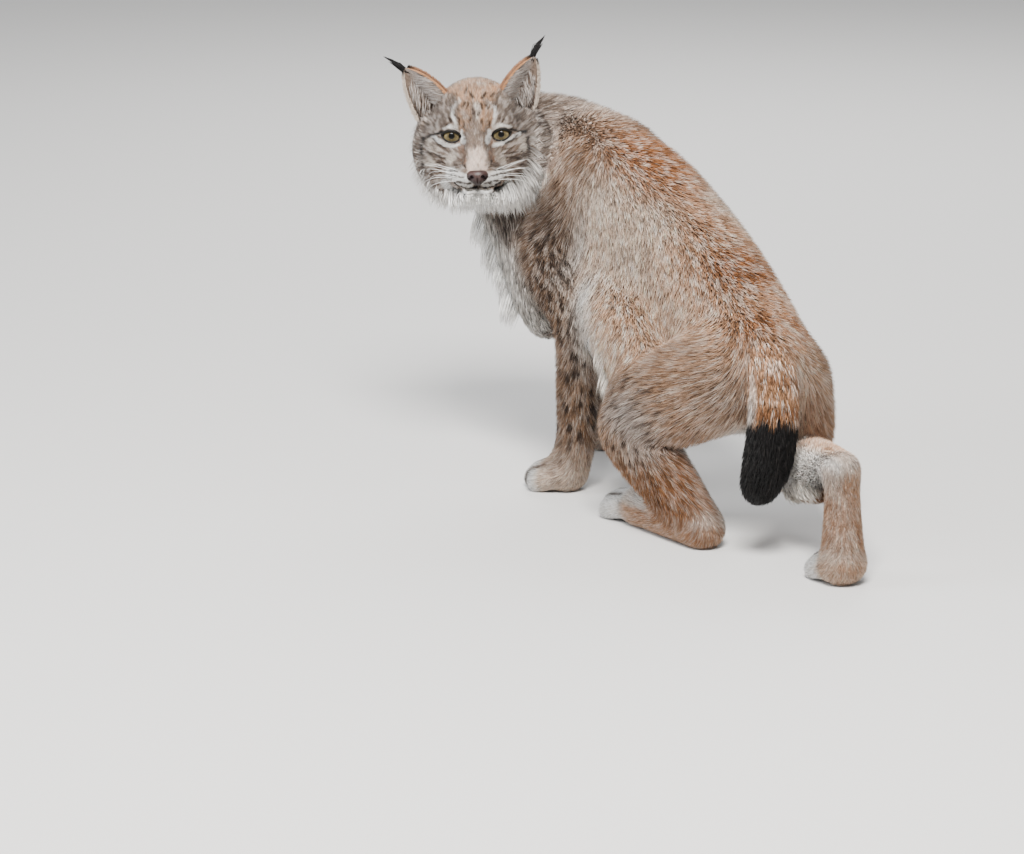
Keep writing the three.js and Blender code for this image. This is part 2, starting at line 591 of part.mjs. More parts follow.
function ear(name) {
  const side = SIDES[name];
  const base = earBase(name);
  const [tipX, tipY, tipZ] = EAR_SET[name].tip;
  const tip = onHead(side * tipX, tipY, tipZ);
  const axis = tip.clone().sub(base);
  const height = axis.length();
  axis.normalize();
  const open = faceOut.clone().addScaledVector(faceLeft, EAR.turnedOut * side);
  open.addScaledVector(axis, -open.dot(axis)).normalize();
  const across = axis.clone().cross(open);
  const place = (t, turn, skin) => {
    const taper = Math.pow(1 - t, EAR.taper) * (1 + EAR.bulge * t);
    const half = Math.max(EAR.half * taper - skin, EAR.thinnest);
    const deep = Math.max(EAR.deep * Math.pow(1 - t, EAR.flattening) - skin, EAR.thinnest);
    return base.clone()
      .addScaledVector(axis, height * t)
      .addScaledVector(across, half * Math.sin(turn))
      .addScaledVector(open, EAR.forward - deep * Math.cos(turn));
  };
  const points = [];
  for (const skin of [0, EAR.sheet])
    for (let r = 0; r <= EAR_ROWS; r++)
      for (let c = 0; c <= EAR_COLUMNS; c++) {
        const reach = skin ? EAR.cupTop : EAR.sheetTop;
        const t = EAR.sunk + ((reach - EAR.sunk) * r) / EAR_ROWS;
        const thin = skin * (1 - 0.5 * Math.max(t, 0));
        points.push(place(t, radians(EAR.turn) * ((2 * c) / EAR_COLUMNS - 1), thin));
      }
  const faces = [];
  const id = (layer, r, c) => (layer * (EAR_ROWS + 1) + r) * (EAR_COLUMNS + 1) + c;
  const quad = (a, b, c, d) => faces.push(a, c, b, a, d, c);
  for (let r = 0; r < EAR_ROWS; r++)
    for (let c = 0; c < EAR_COLUMNS; c++) {
      quad(id(0, r, c), id(0, r, c + 1), id(0, r + 1, c + 1), id(0, r + 1, c));
      quad(id(1, r, c), id(1, r + 1, c), id(1, r + 1, c + 1), id(1, r, c + 1));
    }
  for (let r = 0; r < EAR_ROWS; r++) {
    quad(id(0, r, 0), id(0, r + 1, 0), id(1, r + 1, 0), id(1, r, 0));
    const c = EAR_COLUMNS;
    quad(id(0, r, c), id(1, r, c), id(1, r + 1, c), id(0, r + 1, c));
  }
  for (let c = 0; c < EAR_COLUMNS; c++) {
    quad(id(0, 0, c), id(1, 0, c), id(1, 0, c + 1), id(0, 0, c + 1));
    const r = EAR_ROWS;
    quad(id(0, r, c), id(0, r, c + 1), id(1, r, c + 1), id(1, r, c));
  }
  let solid = solidOf(new THREE.BufferGeometry().setFromPoints(points).setIndex(faces));
  if (solid.volume() < 0) throw new Error("ear faces in");
  const outward = faceLeft.clone().multiplyScalar(side);
  const [brushX, brushY, brushZ] = EAR_SET[name].brush;
  const brush = headWay(side * brushX, brushY, brushZ);
  BRUSH.locks.forEach(({ lean, length }, i) => {
    const way = brush.clone().addScaledVector(outward, lean);
    const root = base.clone()
      .addScaledVector(axis, height * (BRUSH.from + BRUSH.step * i))
      .addScaledVector(open, BRUSH.ahead + BRUSH.aheadStep * i)
      .addScaledVector(outward, BRUSH.aside * lean);
    const ways = [way, way.clone().addScaledVector(outward, BRUSH.curl)];
    const flat = open.clone().addScaledVector(outward, 0.5 * lean + 0.1);
    const thick = BRUSH.thick + BRUSH.thinner * i;
    solid = solid.add(lock({ root, ways, flat, length, width: BRUSH.width, thick }));
  });
  return solid.subtract(skullAndGap);
}

for (const [name, side] of Object.entries(SIDES)) {
  make("ear_" + name, "rufous", ear(name));
  make("eye_" + name, "eye", ball(onHead((side * EYE_SPACING) / 2, 0, EYE_DEPTH), EYE_RADIUS));
}
make("head", "grey", headSolid);
make("nose_pad", "nose", nosePad);

const inRegion = (name, low, high, cell, ...others) => {
  let solid = surfaceIn(body, low, high, cell).intersect(within(REGIONS[name], -GAP / 2));
  for (const other of others) solid = solid.subtract(within(REGIONS[other], GAP / 2));
  return solid;
};

const behindEars = Object.keys(SIDES)
  .map((name) => ball(earBase(name), EAR_ROOM, 12))
  .reduce((a, b) => a.add(b));

// A row of locks between two places on the body, all with about one way
const SWAY = 0.12;
const SHORT_EVERY_THIRD = 0.85;
function fringe({ from, to, count, way, bend, flat, length, width = 20, thick = 9 }) {
  return Array.from({ length: count }, (_, i) => {
    const t = i / (count - 1);
    const sway = SWAY * (i % 2 ? 1 : -1);
    const first = at(...way).add(at(sway, -sway, 0));
    return lock({
      root: at(...from).lerp(at(...to), t),
      ways: [first, first.clone().add(at(...bend))],
      flat: at(...flat).add(at(sway, 0, sway)),
      length: length * (i % 3 === 1 ? SHORT_EVERY_THIRD : 1),
      width, thick,
    });
  });
}
const FRINGES = {
  neck: { from: [506, 104, 362], to: [444, 92, 262], count: 7, way: [0.25, 0.3, -0.9],
    bend: [-0.3, 0, -0.7], flat: [-0.3, 0.9, 0.2], length: 60 },
  thigh_left: { from: [216, 86, 262], to: [196, 118, 150], count: 5, way: [0.8, 0.1, -0.5],
    bend: [-0.3, 0, -0.6], flat: [0, 1, 0.2], length: 52 },
  shank_right: { from: [-16, -56, 88], to: [-112, -18, 112], count: 6, way: [-0.4, 0.3, -0.7],
    bend: [-0.5, 0, 0.1], flat: [0.2, 1, 0.1], length: 54 },
};
const withFringe = (name, solid) => {
  const beside = bodyAndGap.subtract(within(REGIONS[name], -GAP / 2));
  const locks = fringe(FRINGES[name]).reduce((a, b) => a.add(b));
  return solid.add(locks.subtract(beside));
};

make("neck", "grey", withFringe("neck", inRegion("neck", ...NECK_BOX, NECK_CELL))
  .subtract(skullAndGap)
  .subtract(behindEars));
make("foreleg_left", "grey", inRegion("foreleg_left", [240, 30, 40], [470, 190, 350], 16, "forepaw_left"));
make("foreleg_right", "grey", inRegion("foreleg_right", [320, -150, 40], [540, 10, 350], 16, "forepaw_right"));
make("forepaw_left", "pale", onFloor(inRegion("forepaw_left", [260, 40, -12], [430, 190, 80], 10.5)));
make("forepaw_right", "pale", onFloor(inRegion("forepaw_right", [400, -130, -12], [590, 40, 80], 10.5)));
make("thigh_left", "rufous",
  withFringe("thigh_left", inRegion("thigh_left", [-100, 20, 90], [260, 210, 380], 20)));
make("thigh_right", "rufous", inRegion("thigh_right", [-110, -170, 20], [180, -10, 360], 20));
make("shank_left", "rufous", inRegion("shank_left", [-60, 20, 20], [210, 200, 170], 15, "hindpaw_left"));
make("shank_right", "rufous",
  withFringe("shank_right", inRegion("shank_right", [-270, -140, 20], [90, 70, 200], 16, "hindpaw_right")));
make("hindpaw_left", "pale", onFloor(inRegion("hindpaw_left", [-50, 20, -12], [260, 180, 80], 12.5)));
make("hindpaw_right", "pale", onFloor(inRegion("hindpaw_right", [-290, -60, -12], [-120, 100, 140], 11.5)));

const others = ["foreleg_left", "foreleg_right", "thigh_left", "thigh_right", "shank_left", "shank_right"];
let torso = surfaceIn(body, ...BODY_BOX, BODY_CELL).subtract(skullAndGap);
for (const other of ["neck", ...others]) torso = torso.subtract(within(REGIONS[other], GAP / 2));
make("torso", "rufous", torso);

// Tail, hung from the rump
const tail = fieldOf([limb(TAIL)]);
const tailSolid = surfaceIn(tail, [-150, -40, 50], [40, 120, 320], 16)
  .subtract(bodyAndGap)
  .subtract(surfaceIn(body, [-100, 20, 90], [260, 210, 380], 20, SKIN_GAP));
const tipFace = [0, 0, TAIL_BLACK_BELOW];
make("tail", "rufous", tailSolid.intersect(beyond(tipFace, [0, 0, 1], -GAP / 2)));
make("tail_tip", "black", tailSolid.intersect(beyond(tipFace, [0, 0, -1], -GAP / 2)));

// The origin lies on the ground under the middle of the whole animal
const whole = new THREE.Box3();
for (const { solid } of Object.values(nodes)) {
  const { min, max } = solid.boundingBox();
  whole.expandByPoint(at(...min)).expandByPoint(at(...max));
}
const middle = whole.getCenter(at(0, 0, 0));

const lynx = new THREE.Group();
for (const [name, { coat, solid }] of Object.entries(nodes)) {
  const placed = solid.translate([-middle.x, -middle.y, -whole.min.z]);
  const mesh = new THREE.Mesh(oneSurface(placed), new THREE.MeshStandardMaterial(coats[coat]));
  mesh.name = name;
  lynx.add(mesh);
}
export default lynx;
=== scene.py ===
# %% [markdown]
# # A life-size eurasian lynx
# The animal crouches low behind, one hind leg stretched back, and looks over its left shoulder.
# The CAD frame gives its true size and place. This file dresses it: one skin over the whole body,
# a coat of real mesh tufts that follow the lie of the hair, and a face with eyes, nose and whiskers.

import bpy
import numpy as np
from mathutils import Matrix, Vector


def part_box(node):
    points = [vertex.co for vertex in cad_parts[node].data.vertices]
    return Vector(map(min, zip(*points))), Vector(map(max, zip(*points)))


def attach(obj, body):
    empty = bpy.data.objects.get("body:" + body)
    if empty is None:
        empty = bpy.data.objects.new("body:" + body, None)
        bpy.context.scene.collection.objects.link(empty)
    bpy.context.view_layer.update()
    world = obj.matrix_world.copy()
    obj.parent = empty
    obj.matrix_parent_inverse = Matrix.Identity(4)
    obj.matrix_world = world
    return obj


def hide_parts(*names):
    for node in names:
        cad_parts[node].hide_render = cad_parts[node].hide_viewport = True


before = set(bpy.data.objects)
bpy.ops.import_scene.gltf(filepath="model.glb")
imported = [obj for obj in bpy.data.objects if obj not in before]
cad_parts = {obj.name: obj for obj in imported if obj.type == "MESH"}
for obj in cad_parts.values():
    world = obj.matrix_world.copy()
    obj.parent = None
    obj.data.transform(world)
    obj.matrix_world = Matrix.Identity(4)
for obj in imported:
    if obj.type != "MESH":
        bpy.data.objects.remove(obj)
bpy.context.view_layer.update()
chance = np.random.default_rng(7)

# %% [markdown]
# ## Where things are
# Stations down the body were measured on a draft of the animal, in millimetres, before it was
# centred. The CAD frame is centred, so the left eye, a plain ball in both, ties one to the other.

# %% The head's own axes
EYE_RADIUS = 14.5
EYE_SPACING = 66
EYE_DEPTH = -12
EYE_LID = 3.6
EYE_OPENING = {"half": 13.4, "upper": 6.8, "lower": 8.4, "tilt": np.radians(8)}
EYES_AT = np.array([440.6, 170, 473.2])
FACE_TURN = np.radians(150)
FACE_LIFT = np.radians(12)
FACE_TILT = np.radians(2)
FLOOR_AT = 4
UP = np.array([0, 0, 1.0])
LEFT = np.array([0, 1.0, 0])


def unit(v):
    """Vectors of length one, for one vector or for rows of them."""
    v = np.asarray(v, float)
    return v / np.maximum(np.linalg.norm(v, axis=-1, keepdims=True), 1e-9)


face_out = unit([np.cos(FACE_TURN), np.sin(FACE_TURN), np.tan(FACE_LIFT)])
face_level = unit(np.cross(UP, face_out))
face_left = face_level * np.cos(FACE_TILT) + np.cross(face_out, face_level) * np.sin(FACE_TILT)
face_up = np.cross(face_out, face_left)
FACE = np.array([face_left, face_up, face_out])


def on_head(points):
    """Head millimetres (left, up, out from between the eyes) to draft millimetres."""
    return np.asarray(points, float) @ FACE + EYES_AT


def to_head(points):
    """Draft millimetres to head millimetres."""
    return (np.asarray(points, float) - EYES_AT) @ FACE.T


MM = 1000
low, high = (np.array(corner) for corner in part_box("eye_left"))
SHIFT = (low + high) * MM / 2 - on_head([EYE_SPACING / 2, 0, EYE_DEPTH])


def to_world(points):
    """Draft millimetres to metres in the frame."""
    return (np.asarray(points, float) + SHIFT) / MM


print("draft to frame, mm", SHIFT.round(2))

# %% [markdown]
# ## The body's stations
# Each row is a centre, two half widths out to the coat's tips, and how deep the coat is there.
# The skin is the same form with the coat's depth taken off, so the tufts reach the CAD's outline.

# %% Stations of trunk, legs and tail
TRUNK = [[-22, 10, 218, 62, 76, 12], [28, 0, 236, 80, 88, 14], [130, -14, 272, 86, 105, 14],
         [225, -17, 314, 91, 111, 14], [325, -7, 363, 92, 114, 14], [400, 12, 390, 80, 107, 14]]
NECK = [[400, 8, 398, 72, 94, 14], [470, 18, 428, 66, 86, 13], [520, 78, 453, 58, 64, 12]]
THROAT = [[502, 104, 392, 42, 46, 14], [468, 80, 334, 50, 52, 15], [418, 74, 256, 49, 51, 14],
          [396, 84, 226, 32, 36, 12]]
FLANK = {
    "left": [[118, 96, 186, 40, 48, 11], [190, 76, 226, 50, 62, 14], [270, 62, 256, 52, 64, 15],
             [350, 40, 300, 50, 56, 13]],
    "right": [[50, -60, 180, 40, 48, 11], [150, -60, 220, 44, 56, 14], [250, -46, 260, 48, 60, 15],
              [340, -30, 300, 50, 56, 13]],
}
FORELEG = {
    "left": [[345, 40, 440, 34, 50, 13], [395, 82, 322, 44, 56, 13], [315, 86, 238, 37, 42, 11],
             [308, 92, 150, 30, 33, 8], [310, 93, 70, 28, 30, 7], [324, 99, 30, 30, 29, 5]],
    "right": [[365, -30, 440, 34, 50, 13], [425, -50, 335, 44, 56, 13], [412, -52, 240, 37, 42, 11],
              [444, -52, 150, 30, 33, 8], [468, -50, 70, 28, 30, 7], [480, -50, 30, 30, 29, 5]],
}
HINDLEG = {
    "left": [[5, 55, 222, 54, 72, 13], [70, 92, 184, 50, 68, 12], [126, 122, 142, 42, 48, 10],
             [78, 108, 94, 42, 46, 10], [18, 90, 46, 30, 32, 6], [2, 84, 29, 25, 27, 4]],
    "right": [[0, -44, 215, 50, 70, 13], [8, -60, 150, 46, 62, 12], [10, -62, 94, 42, 46, 10],
              [-80, -34, 108, 40, 44, 10], [-168, 2, 138, 28, 29, 6], [-204, 14, 146, 23, 24, 5]],
}
INSTEP = {
    "left": [[2, 86, 27, 29, 27, 4], [70, 91, 29, 33, 29, 4], [130, 94, 29, 35, 29, 4]],
    "right": [[-206, 14, 146, 22, 22, 4], [-214, 18, 88, 25, 26, 4], [-222, 22, 34, 31, 29, 4]],
}
PAWS = {
    "forepaw_left": ([322, 98, 28], [354, 119, 22]),
    "forepaw_right": ([480, -50, 28], [516, -48, 22]),
    "hindpaw_left": ([130, 93, 27], [184, 97, 22]),
    "hindpaw_right": ([-222, 22, 28], [-184, 14, 22]),
}
PAW_COAT = 4
TAIL = [[-24, 18, 262, 30, 30, 9], [-64, 28, 240, 32, 32, 10], [-88, 40, 190, 34, 34, 11],
        [-94, 52, 134, 34, 34, 12], [-88, 60, 102, 26, 26, 10]]
TAIL_BLACK_BELOW = 162

# %% [markdown]
# ## Forms that melt together
# A limb is a chain of short tapered lengths with an oval section. Its distance field says how far
# any point is from its surface. Fields join by a smooth union, which rounds every crease as flesh
# does. That is easier to keep true to the CAD than sculpting, as both come from the same stations.

# %% Limbs and lumps
FAR = 1e3


def between(rows, t):
    """Values between stations, on a smooth curve through all of them."""
    rows = np.asarray(rows, float)
    i = np.clip(np.floor(t).astype(int), 0, len(rows) - 2)
    f = (np.asarray(t, float) - i)[:, None]
    a, b, c, d = (rows[np.clip(i + n, 0, len(rows) - 1)] for n in (-1, 0, 1, 2))
    return b + 0.5 * f * (c - a + f * (2 * a - 5 * b + 4 * c - d + f * (3 * (b - c) + d - a)))


class Limb:
    """A chain of stations, its side way, and the way its hair lies: 1 down the chain, -1 up it."""

    def __init__(self, name, rows, blend=20, side=LEFT, lie=1, steps=4):
        stops = between(rows, np.arange((len(rows) - 1) * steps + 1) / steps)
        self.name, self.blend, self.lie = name, blend, lie
        self.a, self.b = stops[:-1], stops[1:]
        self.axis = unit(self.b[:, :3] - self.a[:, :3])
        self.length = np.linalg.norm(self.b[:, :3] - self.a[:, :3], axis=1)
        across = side - self.axis * (self.axis @ side)[:, None]
        self.across = unit(across)
        self.over = np.cross(self.axis, self.across)
        reach = stops[:, 3:5].max(1, keepdims=True)
        self.low = (stops[:, :3] - reach).min(0)
        self.high = (stops[:, :3] + reach).max(0)

    def distance(self, points, details=False):
        """How far each point is from the skin, which lies the coat's depth under the stations."""
        best = np.full(len(points), FAR)
        stop = np.zeros(len(points))
        for k, (a, b) in enumerate(zip(self.a, self.b)):
            q = points - a[:3]
            along = q @ self.axis[k]
            t = np.clip(along / self.length[k], 0, 1)
            past = along - t * self.length[k]
            s, u = q @ self.across[k], q @ self.over[k]
            w, h, coat = (a[n] + (b[n] - a[n]) * t for n in (3, 4, 5))
            w, h = w - coat, h - coat
            m = np.minimum(w, h)
            near = np.sqrt((s / w) ** 2 + (u / h) ** 2 + (past / m) ** 2)
            slope = np.sqrt((s / w**2) ** 2 + (u / h**2) ** 2 + (past / m**2) ** 2)
            d = near * (near - 1) / np.maximum(slope, 1e-9)
            closer = d < best
            best = np.where(closer, d, best)
            if details:
                stop = np.where(closer, k + t, stop)
        return (best, stop) if details else best

    def at_stop(self, stop):
        """The way of the hair and the coat's depth at stops along the limb."""
        k = np.clip(stop.astype(int), 0, len(self.a) - 1)
        t = stop - k
        coat = self.a[k, 5] + (self.b[k, 5] - self.a[k, 5]) * t
        return self.axis[k] * self.lie, coat


class Lump:
    """A rounded lump with its radii along the head's axes."""

    def __init__(self, name, place, radii, blend=20, coat=3.0):
        self.name, self.blend, self.coat = name, blend, coat
        self.centre, self.radii = on_head(place), np.array(radii, float)
        self.low = self.centre - max(radii)
        self.high = self.centre + max(radii)

    def distance(self, points, details=False):
        """The same measure as a limb's, for a lump."""
        radii = self.radii - self.coat
        q = (points - self.centre) @ FACE.T
        near = np.linalg.norm(q / radii, axis=1)
        slope = np.linalg.norm(q / radii**2, axis=1)
        d = near * (near - 1) / np.maximum(slope, 1e-9)
        return (d, np.zeros(len(points))) if details else d


def smooth_union(a, b, k):
    """Two distance fields joined, with a rounded crease about k wide."""
    h = np.maximum(k - np.abs(a - b), 0) / k
    return np.minimum(a, b) - h * h * k / 4


def both(make):
    """The right and the left one of a pair."""
    return [make(-1), make(1)]


def on_face(rows):
    """Head stations to draft stations."""
    return [[*on_head(row[:3]), *row[3:]] for row in rows]

# %% [markdown]
# ## The body from its parts
# Trunk, neck, throat, flanks, legs and tail are limbs of one kind, and each paw is a ball with four
# toes. They could be sculpted by hand, but a row of numbers for each part is easier to put right
# when the pose is off, and it keeps the body on the CAD's own lines.

# %% The body's parts
TOES_ASIDE = (-27, -9.5, 9.5, 27)
OUTER_TOES = (0, 3)
OUTER_TOE_AHEAD = -9
INNER_TOE_AHEAD = 4
TOE_TIP_UP = 15


def paw_parts(name):
    """The ball of a paw and its four toes."""
    ball, toes = (np.array(place, float) for place in PAWS[name])
    ahead = unit((toes - ball) * [1, 1, 0])
    across = np.cross(UP, ahead)
    parts = [Limb(name, [[*ball, 32, 27, PAW_COAT], [*toes, 31, 19, PAW_COAT]], 10, across)]
    for i, offset in enumerate(TOES_ASIDE):
        inset = OUTER_TOE_AHEAD if i in OUTER_TOES else INNER_TOE_AHEAD
        start = toes + across * offset * 0.9 + ahead * (inset - 14)
        end = toes + across * offset + ahead * (inset + 6)
        end[2] = TOE_TIP_UP
        rows = [[*start, 13, 15, 3], [*end, 12, 14, 3]]
        parts.append(Limb(name, rows, 6, across, steps=2))
    return parts


body_parts = [
    Limb("trunk", TRUNK, 30, lie=-1),
    Limb("neck", NECK, 40, lie=-1),
    Limb("throat", THROAT, 30),
]
for side in ("left", "right"):
    body_parts += [
        Limb("flank_" + side, FLANK[side], 40, lie=-1),
        Limb("foreleg_" + side, FORELEG[side], 24),
        Limb("hindleg_" + side, HINDLEG[side], 30),
        Limb("instep_" + side, INSTEP[side], 14),
    ]
for paw in PAWS:
    body_parts += paw_parts(paw)
body_parts.append(Limb("tail", TAIL, 16))

# %% [markdown]
# A lynx's head is short and round: a broad skull, a brow over each eye, full cheeks, a straight
# bridge of the nose, a blunt muzzle on two whisker pads, a small chin, and a ruff down each cheek.
# Lumps in the head's own axes suit it, since each can be moved and sized on its own.

# %% The head's parts
head_parts = [
    Lump("head", [0, 10, -58], [64, 70, 60], coat=6),
    Lump("head", [0, 30, -30], [46, 38, 36], coat=4),
    *both(lambda s: Lump("head", [s * 30, 17, -14], [20, 9, 17], 14, 2)),
    *both(lambda s: Lump("head", [s * 42, -18, -34], [32, 32, 34], 20, 4)),
    *both(lambda s: Lump("head", [s * 34, -48, -24], [34, 34, 36], 20, 4)),
    Limb("head", on_face([[0, 8, -8, 18, 18, 2], [0, -20, 20, 15, 15, 1.5], [0, -44, 36, 15, 13, 1]]),
         14, face_left),
    Limb("head", on_face([[0, -40, -20, 48, 36, 4], [0, -53, 14, 35, 22, 2]]), 18, face_left),
    *both(lambda s: Lump("head", [s * 18, -56, 29], [20, 14, 19], 10, 1.5)),
    Lump("head", [0, -80.5, 17], [17, 9.5, 16], 8, 2.5),
    Limb("nape", on_face([[0, 6, -72, 58, 56, 9], [26, -6, -104, 56, 56, 12]]), 20, face_left),
    Limb("ruff", on_face([[62, 18, -50, 18, 22, 6], [78, -20, -38, 19, 24, 7],
                          [70, -54, -28, 17, 24, 7], [42, -78, -18, 12, 18, 5]]), 16, face_out),
    Limb("ruff", on_face([[-58, 18, -54, 17, 22, 6], [-65, -16, -44, 17, 24, 7],
                          [-54, -50, -34, 15, 24, 6], [-33, -77, -20, 12, 18, 5]]), 16, face_out),
]
print(len(body_parts), "body parts and", len(head_parts), "head parts")

# %% [markdown]
# The mouth is closed. Each lip is a thin roll along the line of the mouth, and a fine tube along
# the same line is cut out between them. A drawn line would look painted on, while two rolls and a
# cut catch light and shade of their own.

# %% Lips
MOUTH = np.array([[-31, -62], [-22, -69], [-13, -73.5], [0, -71.5],
                  [13, -73.5], [22, -69], [31, -62.0]])
LIP_RADIUS = 2.9
LIPS_APART = 3
LIP_SUNK = 1.3
SEAM_RADIUS = 1.6
LOWER_LIP = 0.85
LIP_TAPER = np.array([0.45, 0.8, 1, 1, 1, 0.8, 0.45])
OPEN_AIR = 200.0


def front_of(rows):
    """Head points on the front of the face, straight behind places x, y before it."""
    depths = np.arange(70, -40, -0.5)
    out = []
    for x, y in rows:
        column = np.stack([np.full(len(depths), x), np.full(len(depths), y), depths], 1)
        total = np.full(len(depths), OPEN_AIR)
        for part in face_parts:
            total = smooth_union(total, part.distance(on_head(column)), part.blend)
        out.append([x, y, depths[np.argmax(total < 0)]])
    return np.array(out)


face_parts = list(head_parts)
mouth_seam = front_of(MOUTH)
for drop in (-LIPS_APART, LIPS_APART):
    line = front_of(MOUTH - [0, drop]) - [0, 0, LIP_SUNK]
    radii = LIP_RADIUS * (1 if drop < 0 else LOWER_LIP) * LIP_TAPER
    head_parts.append(Limb("head", on_face(np.column_stack([line, radii, radii, radii * 0])), 4, face_out))
seam_rows = np.column_stack([mouth_seam, *[SEAM_RADIUS * np.ones(7)] * 2, np.zeros(7)])
seam_cut = Limb("seam", on_face(seam_rows), side=face_out)
print("mouth from", mouth_seam[0], "to", mouth_seam[-1])

# %% [markdown]
# ## From a field to a mesh
# Surface nets put one vertex in each grid cell that the surface crosses, at the middle of its
# crossings, and one face on each grid edge that it cuts. The mesh is even and smooth, which suits
# skin. The grid is finer over the head than over the body, and the mesh stays in one piece.

# %% Fields on a grid
BODY_CELL = 5
HEAD_CELL = 2.2


def grid_stops(low, fine_low, fine_high, high):
    """Grid stops along one axis: fine steps over the head, wider ones on either side."""
    before = np.arange(low, fine_low, BODY_CELL)
    fine = np.arange(fine_low, fine_high, HEAD_CELL)
    after = np.arange(fine_high, high + BODY_CELL, BODY_CELL)
    return np.concatenate([before, fine, after])


def grid_points(axes):
    """Every point of a grid as a row, and the grid's shape."""
    grid = np.meshgrid(*axes, indexing="ij")
    return np.stack([g.ravel() for g in grid], 1), grid[0].shape


FIELD_MARGIN = 14


def field_on_grid(parts, axes):
    """The joined field at each grid point. A part is only worked out near its own box."""
    field = np.full([len(a) for a in axes], OPEN_AIR)
    for part in parts:
        reach = part.blend + FIELD_MARGIN
        cut = tuple(slice(*np.searchsorted(a, [part.low[n] - reach, part.high[n] + reach]))
                    for n, a in enumerate(axes))
        points, shape = grid_points([a[c] for a, c in zip(axes, cut)])
        if not len(points):
            continue
        d = part.distance(points).reshape(shape)
        field[cut] = smooth_union(field[cut], d, part.blend)
    return field

# %% [markdown]
# The net itself. In each cell, the places where the field changes sign along an edge are averaged.
# Marching cubes would do as well, but they leave thin slivers, which show on a wet nose.

# %% Surface nets
def surface_nets(axes, field):
    """Vertices and four-cornered faces of the zero surface."""
    inside = field < 0
    cells = [n - 1 for n in field.shape]
    total = np.zeros([*cells, 3], np.float32)
    count = np.zeros(cells, np.int8)
    for start in [[(c >> n) & 1 for n in range(3)] for c in range(8)]:
        for n in range(3):
            if start[n]:
                continue
            end = list(start)
            end[n] = 1
            from_here = tuple(slice(s, s + c) for s, c in zip(start, cells))
            to_there = tuple(slice(s, s + c) for s, c in zip(end, cells))
            crossed = inside[from_here] != inside[to_there]
            a, b = field[from_here][crossed], field[to_there][crossed]
            place = np.tile(np.array(start, float), (len(a), 1))
            place[:, n] += a / (a - b)
            total[crossed] += place
            count[crossed] += 1
    used = count > 0
    number = np.full(cells, -1)
    number[used] = np.arange(used.sum())
    places = np.stack(np.nonzero(used), 1) + total[used] / count[used][:, None]
    points = np.stack([np.interp(places[:, n], np.arange(len(axes[n])), axes[n])
                       for n in range(3)], 1)
    faces = []
    for n in range(3):
        m, k = (n + 1) % 3, (n + 2) % 3
        near = [slice(1, -1)] * 3
        far = [slice(1, -1)] * 3
        near[n], far[n] = slice(0, -1), slice(1, None)
        a, b = inside[tuple(near)], inside[tuple(far)]
        for outward in (True, False):
            edge = np.stack(np.nonzero((a != b) & (a == outward)), 1)
            edge[:, [m, k]] += 1
            corners = []
            for step_m, step_k in ((0, 0), (-1, 0), (-1, -1), (0, -1)):
                at = edge.copy()
                at[:, m] += step_m
                at[:, k] += step_k
                corners.append(number[tuple(at.T)])
            faces.append(np.stack(corners if outward else corners[::-1], 1))
    return points, np.concatenate(faces)

# %% [markdown]
# A net still shows a trace of its grid. Easing moves every value half way to the middle of its
# neighbours: the points once, and later the lie and the depth of the hair many times.

# %% Easing
def eased(values, faces, rounds=1):
    """Values at vertices, each moved half way to the middle of the faces round it."""
    count = np.maximum(np.bincount(faces.ravel(), minlength=len(values)), 1)[:, None]
    for _ in range(rounds):
        middle = values[faces].mean(1)
        total = np.zeros_like(values)
        for n in range(faces.shape[1]):
            for k in range(values.shape[1]):
                total[:, k] += np.bincount(faces[:, n], middle[:, k], len(values))
        values = values * 0.5 + total / count * 0.5
    return values

# %% [markdown]
# ## From arrays to Blender
# Each piece is a plain mesh from arrays of points and faces. A colour on every vertex carries the
# markings, and a chart, which Blender calls a UV map, gives a place to bake them.

# %% Meshes with colour and a chart
def new_piece(name, points, faces, colour, chart):
    """A smooth piece from draft millimetres, with a colour and a place in the chart per vertex."""
    sides = faces.shape[1]
    mesh = bpy.data.meshes.new(name)
    mesh.vertices.add(len(points))
    mesh.vertices.foreach_set("co", to_world(points).astype(np.float32).ravel())
    mesh.loops.add(faces.size)
    mesh.loops.foreach_set("vertex_index", faces.astype(np.int32).ravel())
    mesh.polygons.add(len(faces))
    mesh.polygons.foreach_set("loop_start", np.arange(0, faces.size, sides, dtype=np.int32))
    mesh.update(calc_edges=True)
    mesh.polygons.foreach_set("use_smooth", np.ones(len(faces), bool))
    layer = mesh.color_attributes.new("Coat", "FLOAT_COLOR", "POINT")
    rgba = np.concatenate([colour, np.ones((len(points), 1))], 1)
    layer.data.foreach_set("color", rgba.astype(np.float32).ravel())
    uv = mesh.uv_layers.new(name="OFBake")
    uv.data.foreach_set("uv", chart[faces.ravel()].astype(np.float32).ravel())
    piece = bpy.data.objects.new(name, mesh)
    bpy.context.scene.collection.objects.link(piece)
    return piece


def triangles_of(faces):
    """Faces with four corners cut into triangles."""
    if faces.shape[1] == 3:
        return faces
    return np.concatenate([faces[:, [0, 1, 2]], faces[:, [0, 2, 3]]])


def normals_at(points, faces):
    """The way out at each vertex."""
    tri = triangles_of(faces)
    a, b, c = points[tri[:, 0]], points[tri[:, 1]], points[tri[:, 2]]
    n = np.cross(b - a, c - a)
    total = np.zeros_like(points)
    for corner in range(3):
        for k in range(3):
            total[:, k] += np.bincount(tri[:, corner], n[:, k], len(points))
    return unit(total)

# %% [markdown]
# ## The skin
# Under the coat the animal has one skin, so the skin is one mesh from nose to tail. The lids are
# part of it: a shell a little wider than the eyeball, opened by an almond shape.

# %% Openings between the lids
def eye_centre(side):
    """The middle of one eyeball in the head's axes; side is 1 for the left one, -1 for the right."""
    return np.array([side * EYE_SPACING / 2, 0, EYE_DEPTH])


